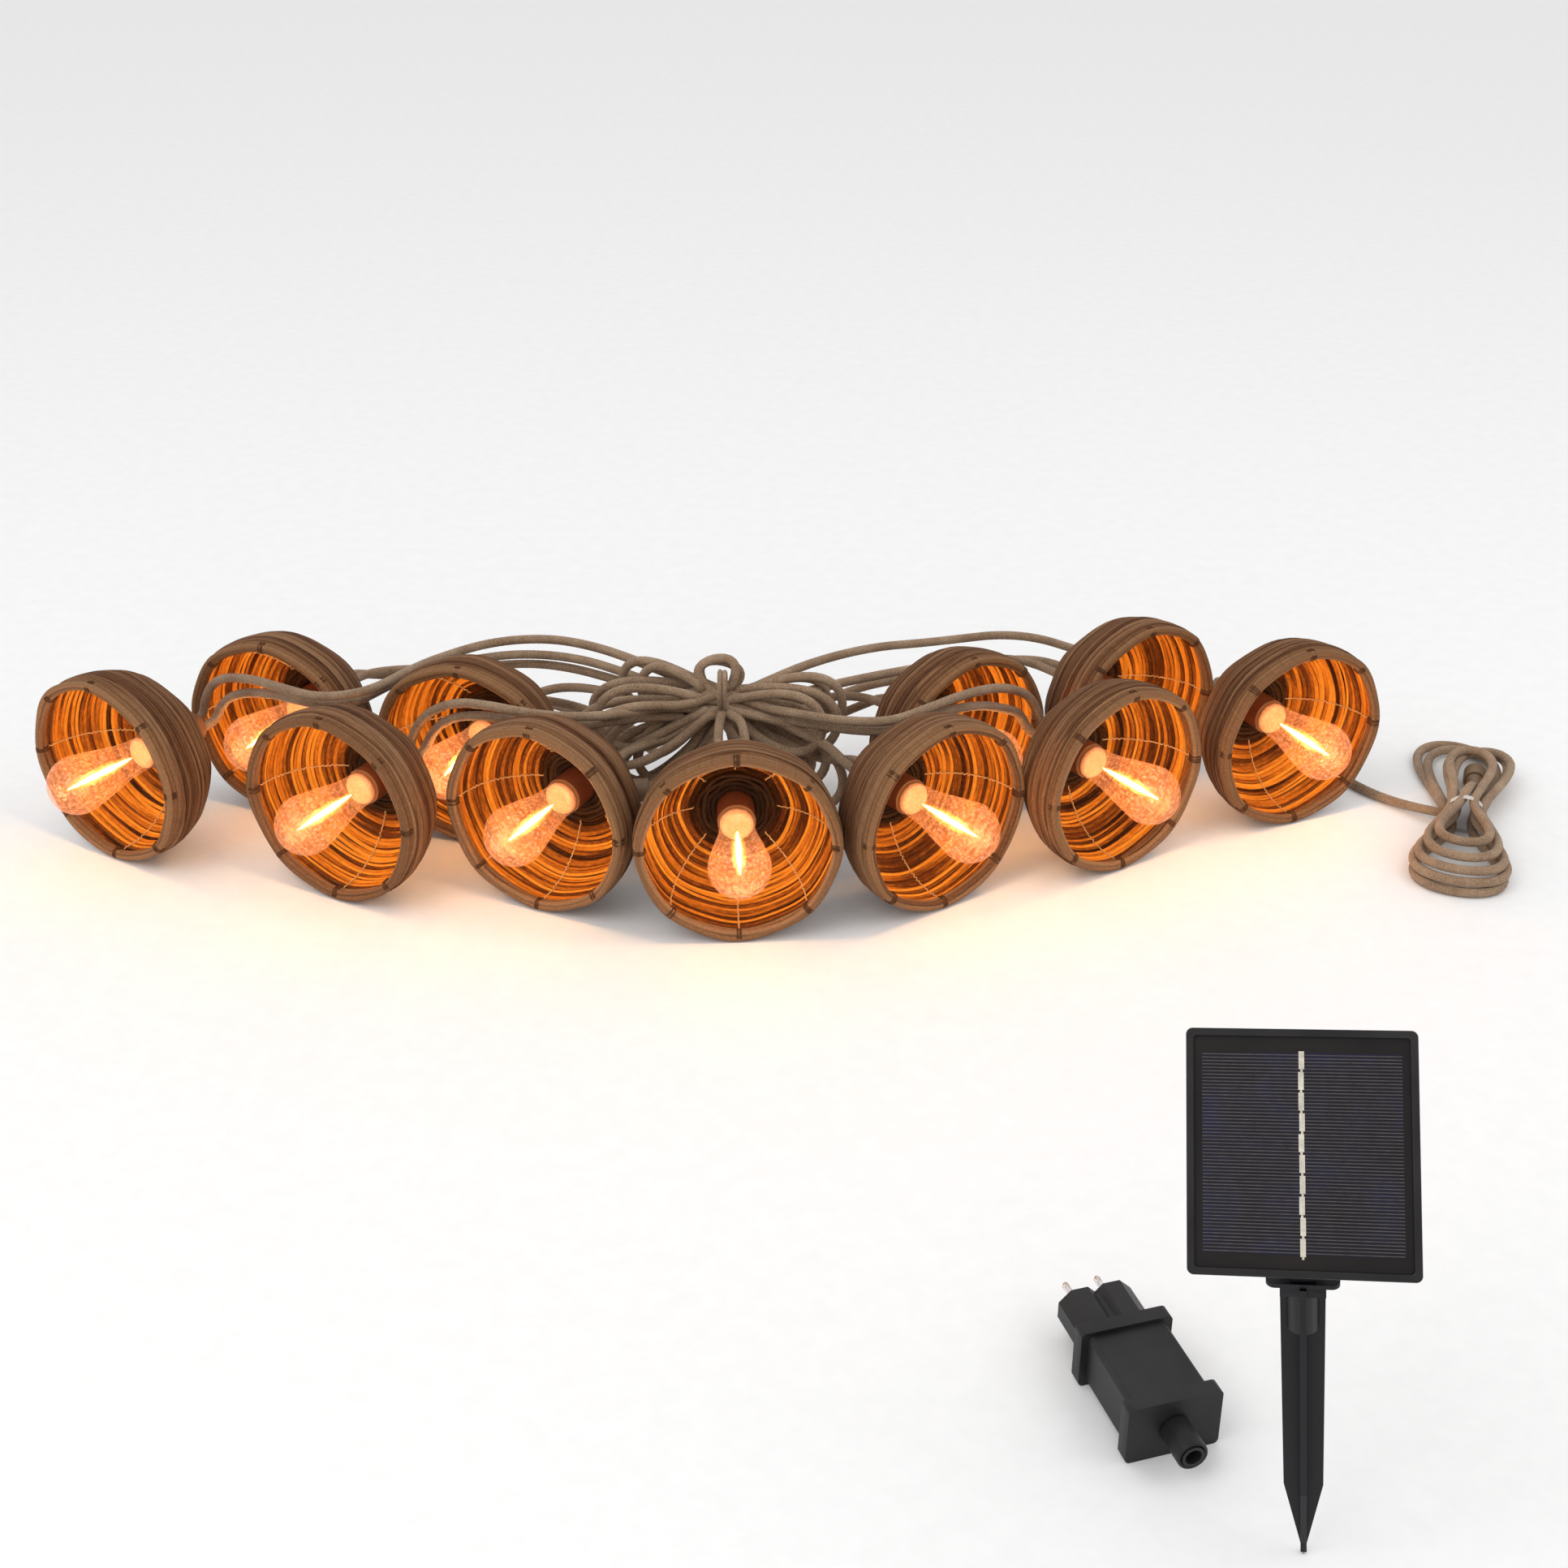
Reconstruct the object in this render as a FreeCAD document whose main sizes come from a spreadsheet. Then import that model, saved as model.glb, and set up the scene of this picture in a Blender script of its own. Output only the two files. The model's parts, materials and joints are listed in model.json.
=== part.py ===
import FreeCAD, Part
import math
import os
import Sketcher
from FreeCAD import Placement, Rotation, Vector

# Solar string lights: eleven woven dome shades with screw-in bulbs on a rope-covered cord, laid out
# in two rows with the spare cord tied in a bundle, the feed lead wound in a hank, a plug-in adapter
# and a solar panel on a ground stake.  Millimetres, +Z up, the lights open towards -Y.

doc = FreeCAD.newDocument("solar_string_lights")

# ---------------------------------------------------------------- driving dimensions

DIMENSIONS = {
    # woven shade; heights along a lamp's axis are measured back from the plane of its rim
    "shade_radius": 75.0,
    "shade_wall": 4.0,
    "hoop_depth": 8.0,
    "hoop_gap": 0.4,
    "band_depth": 14.0,
    "dome_radius": 62.4,
    "crown_radius": 15.0,
    # socket in the crown of each shade
    "socket_radius": 14.0,
    "socket_mouth": 50.0,
    "socket_back": 90.0,
    "socket_bore": 7.4,
    "bore_back": 66.0,
    "socket_flange": 16.5,
    "flange_front": 76.6,
    "flange_back": 79.6,
    "collar_front": 44.7,
    "ring_radius": 23.0,
    "ring_front": 66.0,
    "ring_back": 71.2,
    "gland_back": 98.0,
    "gland_radius": 11.0,
    # bulb
    "bulb_radius": 22.5,
    "bulb_centre": 21.9,
    "glass_wall": 1.2,
    "shoulder_height": 16.7,
    "neck_radius": 13.0,
    "neck_top": 30.0,
    "neck_end": 42.0,
    "cap_radius": 7.0,
    "cap_end": 62.0,
    "cap_plate": 11.5,
    # cord, bundle and hank
    "cord_diameter": 7.5,
    "exit_spacing": 13.0,
    "bundle_half_width": 95.0,
    "bundle_half_depth": 48.0,
    "bundle_half_height": 102.0,
    "bundle_centre_height": 30.0,
    "bundle_tie_radius": 17.0,
    "hank_waist": 15.0,
    "hank_front_half_width": 39.0,
    "hank_front_half_length": 56.0,
    "hank_front_half_height": 22.0,
    "hank_back_half_width": 37.0,
    "hank_back_half_length": 80.0,
    "hank_back_half_height": 18.0,
    "hank_centre_height": 15.5,
    "plug_offset": 6.0,
    "plug_start": 58.0,
    "plug_room": 9.8,
    # solar panel; its own X is the width, Y the height and Z the outward normal
    "panel_width": 101.0,
    "panel_height": 109.0,
    "panel_depth": 22.0,
    "bezel_depth": 2.0,
    "bezel_band": 3.5,
    "panel_wall": 2.0,
    "plate_gap": 0.3,
    "plate_depth": 2.2,
    "pivot_above_edge": 12.0,
    "pivot_behind_back": 8.0,
    "ear_width": 4.0,
    "knuckle_width": 12.0,
    "knuckle_radius": 7.0,
    "bolt_radius": 2.5,
    "knob_radius": 7.2,
    "button_radius": 5.0,
    "screw_radius": 1.5,
    # ground stake
    "stake_length": 171.0,
    "stake_width": 20.6,
    "stake_rib": 3.0,
    "stake_taper_length": 46.0,
    "stake_core": 7.5,
    "peg_radius": 5.0,
    "peg_length": 20.0,
    "bracket_plate_width": 33.0,
    "bracket_plate_depth": 18.0,
    "bracket_plate_thickness": 2.5,
    "bracket_rise": 14.0,
    # plug-in adapter; its own Z runs from the outlet to the mains pins
    "adapter_width": 45.0,
    "adapter_thickness": 31.0,
    "adapter_flange_width": 53.0,
    "adapter_flange_thickness": 36.0,
    "outlet_length": 22.0,
    "outlet_flange": 9.0,
    "adapter_body": 50.0,
    "adapter_flange": 9.0,
    "adapter_head": 32.0,
    "adapter_wall": 2.5,
    "pin_spacing": 19.0,
    "pin_radius": 2.0,
    "pin_length": 19.0,
    "outlet_nut_radius": 8.5,
    "outlet_boss_radius": 6.2,
    "outlet_bore": 4.5,
    # round two-pole connectors on the feed lead and on the tail
    "connector_radius": 7.0,
    "connector_nut_radius": 9.0,
}

sheet = doc.addObject("Spreadsheet::Sheet", "Dims")
for row, (alias, value) in enumerate(DIMENSIONS.items(), start=1):
    sheet.set("A%d" % row, alias)
    sheet.set("B%d" % row, str(value))
    sheet.setAlias("B%d" % row, alias)
doc.recompute()


def dim(alias):
    """Value of one driving dimension, in millimetres."""
    return float(getattr(sheet, alias))


def bound(text):
    """Turn words in an expression into references to the sheet's cells."""
    for alias in sorted(DIMENSIONS, key=len, reverse=True):
        text = text.replace(alias, "<%d>" % list(DIMENSIONS).index(alias))
    for index, alias in enumerate(DIMENSIONS):
        text = text.replace("<%d>" % index, "Dims." + alias)
    return text


# ---------------------------------------------------------------- lamp places on the floor

# Middle of each rim on the floor plan and the turn of its opening from -Y towards +X, in string
# order: lamp 1 is next to the feed lead, lamp 11 is the far end.
LAMPS = [
    (460, 319, 25),
    (344, 363, 35),
    (314, 245, 34),
    (202, 305, 37),
    (175, 187, 36),
    (23, 140, 3),
    (-128, 184, -26),
    (-192, 287, -17),
    (-280, 200, -28),
    (-348, 332, -23),
    (-461, 261, -33),
]


def lamp_place(number):
    """Placement that takes a lamp's own axes (Z out of the opening) to its place on the floor."""
    x, y, turn = LAMPS[number - 1]
    upright = Rotation(Vector(0, 0, 1), turn).multiply(Rotation(Vector(1, 0, 0), 90))
    return Placement(Vector(x, y, dim("shade_radius")), upright)


# ---------------------------------------------------------------- sketching helpers


def origin_plane(body, role):
    """The body's own origin plane with the given role."""
    for feature in body.Origin.OriginFeatures:
        if feature.Role == role:
            return feature
    raise ValueError(role)


def arc_between(start, end, radius, left):
    """Arc from start to end; left tells whether its centre lies left of the way from start to end."""
    middle = (start + end) * 0.5
    chord = end - start
    rise = math.sqrt(max(radius ** 2 - (chord.Length / 2) ** 2, 0.0))
    normal = Vector(-chord.y, chord.x, 0).normalize()
    centre = middle + normal * (rise if left else -rise)
    first, last = (start, end) if left else (end, start)
    angles = [math.atan2(p.y - centre.y, p.x - centre.x) for p in (first, last)]
    circle = Part.Circle(centre, Vector(0, 0, 1), radius)
    return Part.ArcOfCircle(circle, angles[0], angles[1])


def outline(sketch, corners, arcs):
    """Closed outline through corners given as pairs of expressions.

    arcs maps the corner that an arc starts from to (radius expression, centre on the left).
    """
    points = []
    for across, along in corners:
        x = float(sketch.evalExpression(bound(across)))
        y = float(sketch.evalExpression(bound(along)))
        points.append(Vector(x, y, 0))
    ends = []
    for index, start in enumerate(points):
        end = points[(index + 1) % len(points)]
        if index in arcs:
            radius, left = arcs[index]
            size = float(sketch.evalExpression(bound(radius)))
            edge = sketch.addGeometry(arc_between(start, end, size, left))
            spot = sketch.addConstraint(Sketcher.Constraint("Radius", edge, size))
            sketch.setExpression("Constraints[%d]" % spot, bound(radius))
            ends.append((edge, 1, 2) if left else (edge, 2, 1))
        else:
            edge = sketch.addGeometry(Part.LineSegment(start, end))
            ends.append((edge, 1, 2))
    for index, (edge, first, last) in enumerate(ends):
        follower, entry, _ = ends[(index + 1) % len(ends)]
        sketch.addConstraint(Sketcher.Constraint("Coincident", edge, last, follower, entry))
        for axis, kind, text in ((0, "DistanceX", corners[index][0]), (1, "DistanceY", corners[index][1])):
            if text == "0":
                sketch.addConstraint(Sketcher.Constraint("PointOnObject", edge, first, -2 if axis == 0 else -1))
                continue
            value = points[index][axis]
            spot = sketch.addConstraint(Sketcher.Constraint(kind, -1, 1, edge, first, value))
            sketch.setExpression("Constraints[%d]" % spot, bound(text))


def new_sketch(body, role, name):
    """Empty sketch on one of the body's own origin planes."""
    sketch = body.newObject("Sketcher::SketchObject", name)
    sketch.AttachmentSupport = (origin_plane(body, role), [""])
    sketch.MapMode = "FlatFace"
    doc.recompute()
    return sketch


def turned(label, corners, arcs=None, place=None):
    """Body turned about its own Z axis from corners (radius, height)."""
    body = doc.addObject("PartDesign::Body", label)
    body.Label = label
    sketch = new_sketch(body, "XZ_Plane", label + "_outline")
    outline(sketch, corners, arcs or {})
    turn = body.newObject("PartDesign::Revolution", label + "_turn")
    turn.Profile = sketch
    turn.ReferenceAxis = (sketch, ["V_Axis"])
    turn.Angle = 360.0
    body.Tip = turn
    body.Placement = place or Placement()
    return body


def group(label, members):
    """Several separate solids of one kind, as one sub-part."""
    compound = doc.addObject("Part::Compound", label)
    compound.Label = label
    compound.Links = members
    return compound


SUBPARTS = []


def keep(*objects):
    """Mark objects as sub-parts that get a file each."""
    SUBPARTS.extend(objects)


# ---------------------------------------------------------------- lamps

DOME = "dome_radius"
CENTRE = "(shade_radius - dome_radius)"


def dome_height(radius, reach):
    """Expression for the height of the dome's skin at a radius from the lamp's axis."""
    return "-(band_depth + sqrt((%s)^2 - (%s - %s)^2))" % (reach, radius, CENTRE)


def shade(number):
    """Woven dome: a short band at the rim, then an arc up to the crown's hole."""
    inner = "(shade_radius - shade_wall)"
    inner_reach = "(dome_radius - shade_wall)"
    corners = [
        (inner, "-hoop_depth"),
        ("shade_radius", "-hoop_depth"),
        ("shade_radius", "-band_depth"),
        ("crown_radius", dome_height("crown_radius", DOME)),
        ("crown_radius", dome_height("crown_radius", inner_reach)),
        (inner, "-band_depth"),
    ]
    arcs = {2: (DOME, False), 4: (inner_reach, True)}
    return turned("shade_%02d" % number, corners, arcs, lamp_place(number))


def rim_hoop(number):
    """Ring that stiffens the mouth of a shade."""
    outer = "(shade_radius - hoop_gap)"
    corners = [("(shade_radius - 2 * shade_wall)", "-hoop_depth"), (outer, "-hoop_depth"), (outer, "0"),
               ("(shade_radius - 2 * shade_wall)", "0")]
    return turned("rim_hoop_%02d" % number, corners, place=lamp_place(number))


def crown_ring(number):
    """Woven ring inside the dome, round the socket."""
    corners = [("(socket_radius + 0.3)", "-ring_back"), ("ring_radius", "-ring_back"),
               ("ring_radius", "-ring_front"), ("(socket_radius + 0.3)", "-ring_front")]
    return turned("crown_ring_%02d" % number, corners, place=lamp_place(number))


def lamp_socket(number):
    """Socket through the crown's hole: a flange outside carries the shade, and both cords leave
    side by side from the gland on its back."""
    corners = [
        ("0", "-gland_back"),
        ("(gland_radius - 0.5)", "-gland_back"),
        ("gland_radius", "-socket_back"),
        ("gland_radius", "-flange_back"),
        ("socket_flange", "-flange_back"),
        ("socket_flange", "-flange_front"),
        ("socket_radius", "-flange_front"),
        ("socket_radius", "-socket_mouth"),
        ("socket_bore", "-socket_mouth"),
        ("socket_bore", "-bore_back"),
        ("0", "-bore_back"),
    ]
    return turned("lamp_socket_%02d" % number, corners, place=lamp_place(number))


def socket_collar(number):
    """Pale ring that closes the socket's mouth round the bulb's neck."""
    corners = [("socket_bore", "-socket_mouth"), ("socket_radius", "-socket_mouth"),
               ("socket_radius", "-collar_front"), ("socket_bore", "-collar_front")]
    return turned("socket_collar_%02d" % number, corners, place=lamp_place(number))


def bulb(number):
    """Pear-shaped glass with its screw cap: two solids that unscrew together."""
    place = lamp_place(number)
    tip = "(bulb_centre + bulb_radius)"
    reach = "(bulb_radius - glass_wall)"
    shoulder = "sqrt((%s)^2 - (bulb_centre - shoulder_height)^2)"
    glass_corners = [
        ("neck_radius", "-neck_end"),
        ("neck_radius", "-neck_top"),
        (shoulder % "bulb_radius", "shoulder_height"),
        ("0", tip),
        ("0", "(bulb_centre + bulb_radius - glass_wall)"),
        (shoulder % reach, "shoulder_height"),
        ("(neck_radius - glass_wall)", "-neck_top"),
        ("(neck_radius - glass_wall)", "-neck_end"),
    ]
    arcs = {2: ("bulb_radius", True), 4: (reach, False)}
    glass = turned("bulb_glass_%02d" % number, glass_corners, arcs)
    cap_corners = [
        ("0", "-cap_end"),
        ("cap_radius", "-cap_end"),
        ("cap_radius", "-(neck_end + 1.5)"),
        ("cap_plate", "-(neck_end + 1.5)"),
        ("cap_plate", "-neck_end"),
        ("0", "-neck_end"),
    ]
    cap = turned("bulb_cap_%02d" % number, cap_corners)
    both = group("bulb_%02d" % number, [glass, cap])
    both.Placement = place
    return both


numbers = range(1, len(LAMPS) + 1)
for number in numbers:
    keep(shade(number))
    keep(bulb(number))
keep(group("shade_hoops", [make(number) for number in numbers for make in (rim_hoop, crown_ring)]))
keep(group("lamp_sockets", [make(number) for number in numbers for make in (lamp_socket, socket_collar)]))


# ---------------------------------------------------------------- plain solids


def block(label, across, along, upward):
    """Box between a low and a high expression on each axis."""
    box = doc.addObject("Part::Box", label)
    for side, axis, (low, high) in (("Length", "x", across), ("Width", "y", along), ("Height", "z", upward)):
        box.setExpression(side, bound("(%s) - (%s)" % (high, low)))
        box.setExpression("Placement.Base." + axis, bound(low))
    return box


def rod(label, radius, low, high, axis="z", at=("0", "0", "0")):
    """Cylinder of a radius between two distances along one axis, through a point."""
    cylinder = doc.addObject("Part::Cylinder", label)
    cylinder.setExpression("Radius", bound(radius))
    cylinder.setExpression("Height", bound("(%s) - (%s)" % (high, low)))
    turns = {"x": Rotation(Vector(0, 1, 0), 90), "y": Rotation(Vector(1, 0, 0), -90), "z": Rotation()}
    cylinder.Placement = Placement(Vector(), turns[axis])
    for name, text in zip("xyz", at):
        full = "(%s) + (%s)" % (text, low) if name == axis else text
        cylinder.setExpression("Placement.Base." + name, bound(full))
    return cylinder


def slab(label, width, height, corner, low, high, middle="0"):
    """Rounded rectangle across X and Y, padded between two heights."""
    body = doc.addObject("PartDesign::Body", label)
    body.Label = label
    sketch = new_sketch(body, "XY_Plane", label + "_outline")
    left, right = "(-(%s) / 2)" % width, "((%s) / 2)" % width
    bottom, top = "((%s) - (%s) / 2)" % (middle, height), "((%s) + (%s) / 2)" % (middle, height)
    corners = [
        ("%s + %s" % (left, corner), bottom), ("%s - %s" % (right, corner), bottom),
        (right, "%s + %s" % (bottom, corner)), (right, "%s - %s" % (top, corner)),
        ("%s - %s" % (right, corner), top), ("%s + %s" % (left, corner), top),
        (left, "%s - %s" % (top, corner)), (left, "%s + %s" % (bottom, corner)),
    ]
    outline(sketch, corners, {index: (corner, True) for index in (1, 3, 5, 7)})
    sketch.setExpression("AttachmentOffset.Base.z", bound(low))
    pad = body.newObject("PartDesign::Pad", label + "_pad")
    pad.Profile = sketch
    pad.setExpression("Length", bound("(%s) - (%s)" % (high, low)))
    body.Tip = pad
    return body


def joined(label, members):
    """Several overlapping solids made one."""
    fuse = doc.addObject("Part::MultiFuse", label)
    fuse.Shapes = members
    return fuse


def carved(label, base, tools):
    """A solid with one or more others taken out of it."""
    cut = doc.addObject("Part::Cut", label)
    cut.Base = base
    cut.Tool = tools[0] if len(tools) == 1 else joined(label + "_tools", tools)
    return cut


# ---------------------------------------------------------------- ground stake and tilt bracket

STAKE_SPOT = Vector(310, -427, 0.2)
STAKE_TURN = -11
STAKE_LEAN = -6.3
PANEL_TILT = 36

stake_place = Placement(
    STAKE_SPOT,
    Rotation(Vector(0, 0, 1), STAKE_TURN).multiply(Rotation(Vector(0, 1, 0), STAKE_LEAN)),
)
pivot_height = dim("stake_length") + dim("bracket_plate_thickness") + dim("bracket_rise")
pivot_place = stake_place.multiply(Placement(Vector(0, 0, pivot_height), Rotation()))
panel_place = pivot_place.multiply(
    Placement(Vector(), Rotation(Vector(1, 0, 0), 90 - PANEL_TILT))
).multiply(
    Placement(Vector(0, -dim("pivot_above_edge"), dim("panel_depth") + dim("pivot_behind_back")), Rotation())
)


def stake_blade(label):
    """Flat rib of the stake, tapered to its tip."""
    body = doc.addObject("PartDesign::Body", label)
    sketch = new_sketch(body, "XZ_Plane", label + "_outline")
    foot = "(stake_width / 2 - 1)"
    corners = [("0", "0"), (foot, "stake_taper_length"), ("(stake_width / 2)", "stake_length"),
               ("-(stake_width / 2)", "stake_length"), ("-" + foot, "stake_taper_length")]
    outline(sketch, corners, {})
    pad = body.newObject("PartDesign::Pad", label + "_pad")
    pad.Profile = sketch
    pad.Midplane = True
    pad.setExpression("Length", bound("stake_rib"))
    body.Tip = pad
    return body


def ground_stake():
    """Crossed ribs with a cored top that takes the bracket's peg."""
    side = stake_blade("stake_blade_side")
    front = stake_blade("stake_blade_front")
    front.Placement = Placement(Vector(), Rotation(Vector(0, 0, 1), 90))
    core = rod("stake_core_rod", "stake_core", "stake_length - peg_length - 8", "stake_length")
    head = block("stake_head", ("-stake_width / 2", "stake_width / 2"), ("-stake_core", "stake_core"),
                 ("stake_length - 6", "stake_length"))
    hole = rod("stake_hole", "peg_radius + 0.3", "stake_length - peg_length - 1", "stake_length + 1")
    stake = carved("ground_stake", joined("stake_solid", [side, front, core, head]), [hole])
    stake.Placement = stake_place
    return stake


def tilt_bracket():
    """Peg, plate, web and knuckle that carry the panel's hinge."""
    rise = "stake_length + bracket_plate_thickness"
    centre = rise + " + bracket_rise"
    half = "knuckle_width / 2"
    peg = rod("bracket_peg", "peg_radius", "stake_length - peg_length", "stake_length + 1")
    plate = slab("bracket_plate", "bracket_plate_width", "bracket_plate_depth", "4",
                 "stake_length + 0.2", rise)
    web = block("bracket_web", ("-" + half, half), ("-knuckle_radius", "knuckle_radius"),
                (rise + " - 1", centre))
    knuckle = rod("bracket_knuckle", "knuckle_radius", "-" + half, half, "x", ("0", "0", centre))
    hole = rod("bracket_hole", "bolt_radius + 0.05", "-knuckle_width", "knuckle_width", "x",
               ("0", "0", centre))
    bracket = carved("tilt_bracket", joined("bracket_solid", [peg, plate, web, knuckle]), [hole])
    bracket.Placement = stake_place
    return bracket


def hinge_place(along=0.0):
    """Placement whose Z lies along the hinge's axis."""
    return pivot_place.multiply(Placement(Vector(along, 0, 0), Rotation(Vector(0, 1, 0), 90)))


def hinge_bolt():
    """Bolt through both ears and the knuckle, with a flat head."""
    head = "-(knuckle_width / 2 + ear_width + 1)"
    corners = [("0", head + " - 3"), ("2 * bolt_radius", head + " - 3"), ("2 * bolt_radius", head),
               ("bolt_radius", head), ("bolt_radius", "-(%s) + 10" % head), ("0", "-(%s) + 10" % head)]
    return turned("hinge_bolt", corners, place=hinge_place())


def tilt_knob():
    """Thumb knob on the bolt's end that clamps the tilt."""
    start = "knuckle_width / 2 + ear_width + 1"
    corners = [("bolt_radius + 0.3", start), ("5", start), ("5", start + " + 2"),
               ("knob_radius", start + " + 3"), ("knob_radius", start + " + 9"),
               ("bolt_radius + 0.3", start + " + 9")]
    return turned("tilt_knob", corners, place=hinge_place())


keep(ground_stake(), tilt_bracket(), hinge_bolt(), tilt_knob())

# ---------------------------------------------------------------- solar panel

MIDDLE = "panel_height / 2"
BACK = "-panel_depth"
INSIDE = "-(panel_depth - panel_wall)"
POSTS = [(side, level) for side in ("-(panel_width / 2 - 8)", "(panel_width / 2 - 8)")
         for level in ("8", "(panel_height - 8)")]
BUTTONS = {"power_button": ("-26", "74"), "mode_button": ("-6", "74")}
INLET = ("30", "30")
PIVOT = ("0", "pivot_above_edge", "-(panel_depth + pivot_behind_back)")


def panel_tray():
    """Back shell with screw posts, hinge ears and the holes for buttons, inlet and screws."""
    outer = slab("tray_outer", "panel_width", "panel_height", "3", BACK, "-bezel_depth", MIDDLE)
    cavity = slab("tray_cavity", "panel_width - 2 * panel_wall", "panel_height - 2 * panel_wall", "2",
                  INSIDE, "1", MIDDLE)
    shell = carved("tray_shell", outer, [cavity])
    posts = [rod("tray_post_%d" % index, "3.2", INSIDE + " - 0.5", "-(bezel_depth + plate_depth + 0.4)",
                 at=(x, y, "0"))
             for index, (x, y) in enumerate(POSTS, start=1)]
    near, far = "(knuckle_width / 2 + 0.4)", "(knuckle_width / 2 + 0.4 + ear_width)"
    drop = "-(panel_depth + pivot_behind_back + 6)"
    ears = [block("tray_ear_left", ("-" + far, "-" + near), ("4", "20"), (drop, BACK + " + 1")),
            block("tray_ear_right", (near, far), ("4", "20"), (drop, BACK + " + 1"))]
    holes = [rod("tray_pivot_hole", "bolt_radius + 0.3", "-20", "20", "x", PIVOT)]
    holes += [rod("tray_" + name + "_hole", "button_radius + 0.4", BACK + " - 1", INSIDE + " + 1",
                  at=(x, y, "0")) for name, (x, y) in BUTTONS.items()]
    holes += [rod("tray_screw_hole_%d" % index, "screw_radius + 0.1", BACK + " - 1",
                  "-(bezel_depth + plate_depth + 2)", at=(x, y, "0"))
              for index, (x, y) in enumerate(POSTS, start=1)]
    holes.append(rod("tray_inlet_hole", "6.4", BACK + " - 1", INSIDE + " + 1", at=(INLET[0], INLET[1], "0")))
    tray = carved("panel_tray", joined("tray_solid", [shell] + posts + ears), holes)
    tray.Placement = panel_place
    return tray


def panel_bezel():
    """Narrow front frame that holds the cell plate down."""
    outer = slab("bezel_outer", "panel_width", "panel_height", "3", "-bezel_depth", "0", MIDDLE)
    window = slab("bezel_window", "panel_width - 2 * bezel_band", "panel_height - 2 * bezel_band", "1.5",
                  "-3", "1", MIDDLE)
    bezel = carved("panel_bezel", outer, [window])
    bezel.Placement = panel_place
    return bezel


def solar_plate():
    """Cells laminated under clear resin, one plate."""
    plate = slab("solar_plate", "panel_width - 2 * (panel_wall + plate_gap)",
                 "panel_height - 2 * (panel_wall + plate_gap)", "1.5",
                 "-(bezel_depth + plate_depth)", "-bezel_depth", MIDDLE)
    plate.Placement = panel_place
    return plate


def battery_cell():
    """Rechargeable cell across the tray."""
    spot = panel_place.multiply(Placement(Vector(0, 24, -12.5), Rotation(Vector(0, 1, 0), 90)))
    return turned("battery_cell", [("0", "-25"), ("7", "-25"), ("7", "25"), ("0", "25")], place=spot)


def circuit_board():
    """Charging board above the buttons."""
    board = slab("circuit_board", "62", "32", "1", "-16.4", "-14.8", "70")
    board.Placement = panel_place
    return board


def push_button(name):
    """Round button with a flange that keeps it in the tray's back wall."""
    x, y = BUTTONS[name]
    spot = panel_place.multiply(Placement(Vector(float(x), float(y), 0), Rotation()))
    corners = [("0", BACK + " - 2"), ("button_radius", BACK + " - 2"), ("button_radius", INSIDE + " + 0.3"),
               ("button_radius + 1.5", INSIDE + " + 0.3"), ("button_radius + 1.5", INSIDE + " + 1.5"),
               ("0", INSIDE + " + 1.5")]
    return turned(name, corners, place=spot)


def charge_inlet():
    """Round socket in the tray's back wall for the string's or the adapter's connector."""
    spot = panel_place.multiply(Placement(Vector(float(INLET[0]), float(INLET[1]), 0), Rotation()))
    mouth = BACK + " - 11"
    corners = [("outlet_bore", mouth), ("6", mouth), ("6", BACK + " - 2"), ("8.5", BACK + " - 2"),
               ("8.5", BACK), ("6", BACK), ("6", INSIDE + " + 1"), ("0", INSIDE + " + 1"),
               ("0", BACK), ("outlet_bore", BACK)]
    return turned("charge_inlet", corners, place=spot)


def case_screw(index):
    """Screw from the back into one of the tray's posts."""
    x, y = [float(doc.Dims.evalExpression(bound(text))) for text in POSTS[index]]
    spot = panel_place.multiply(Placement(Vector(x, y, 0), Rotation()))
    corners = [("0", BACK + " - 1.8"), ("2.8", BACK + " - 1.8"), ("2.8", BACK), ("screw_radius", BACK),
               ("screw_radius", BACK + " + 11"), ("0", BACK + " + 11")]
    return turned("case_screw_%d" % (index + 1), corners, place=spot)


keep(panel_tray(), panel_bezel(), solar_plate(), battery_cell(), circuit_board(), charge_inlet())
keep(*[push_button(name) for name in BUTTONS])
keep(group("case_screws", [case_screw(index) for index in range(len(POSTS))]))

# ---------------------------------------------------------------- plug-in adapter

ADAPTER_SPOT = Vector(262, -382, dim("adapter_flange_thickness") / 2)
ADAPTER_TURN = 17
adapter_place = Placement(
    ADAPTER_SPOT,
    Rotation(Vector(0, 0, 1), ADAPTER_TURN).multiply(Rotation(Vector(1, 0, 0), -90)),
)
PLATE_END = "outlet_length + outlet_flange"
BODY_END = PLATE_END + " + adapter_body"
RIM_END = BODY_END + " + adapter_flange"
HEAD_END = RIM_END + " + adapter_head"


def head_lobe(label, side):
    """Eight-sided boss round one of the mains pins."""
    lobe = doc.addObject("Part::Prism", label)
    lobe.Polygon = 8
    lobe.setExpression("Circumradius", bound("adapter_width / 2 - pin_spacing / 2"))
    lobe.setExpression("Height", bound("adapter_head + 1"))
    lobe.Placement = Placement(Vector(), Rotation(Vector(0, 0, 1), 22.5))
    lobe.setExpression("Placement.Base.x", bound("%s * pin_spacing / 2" % side))
    lobe.setExpression("Placement.Base.z", bound(RIM_END + " - 1"))
    return lobe


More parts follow.
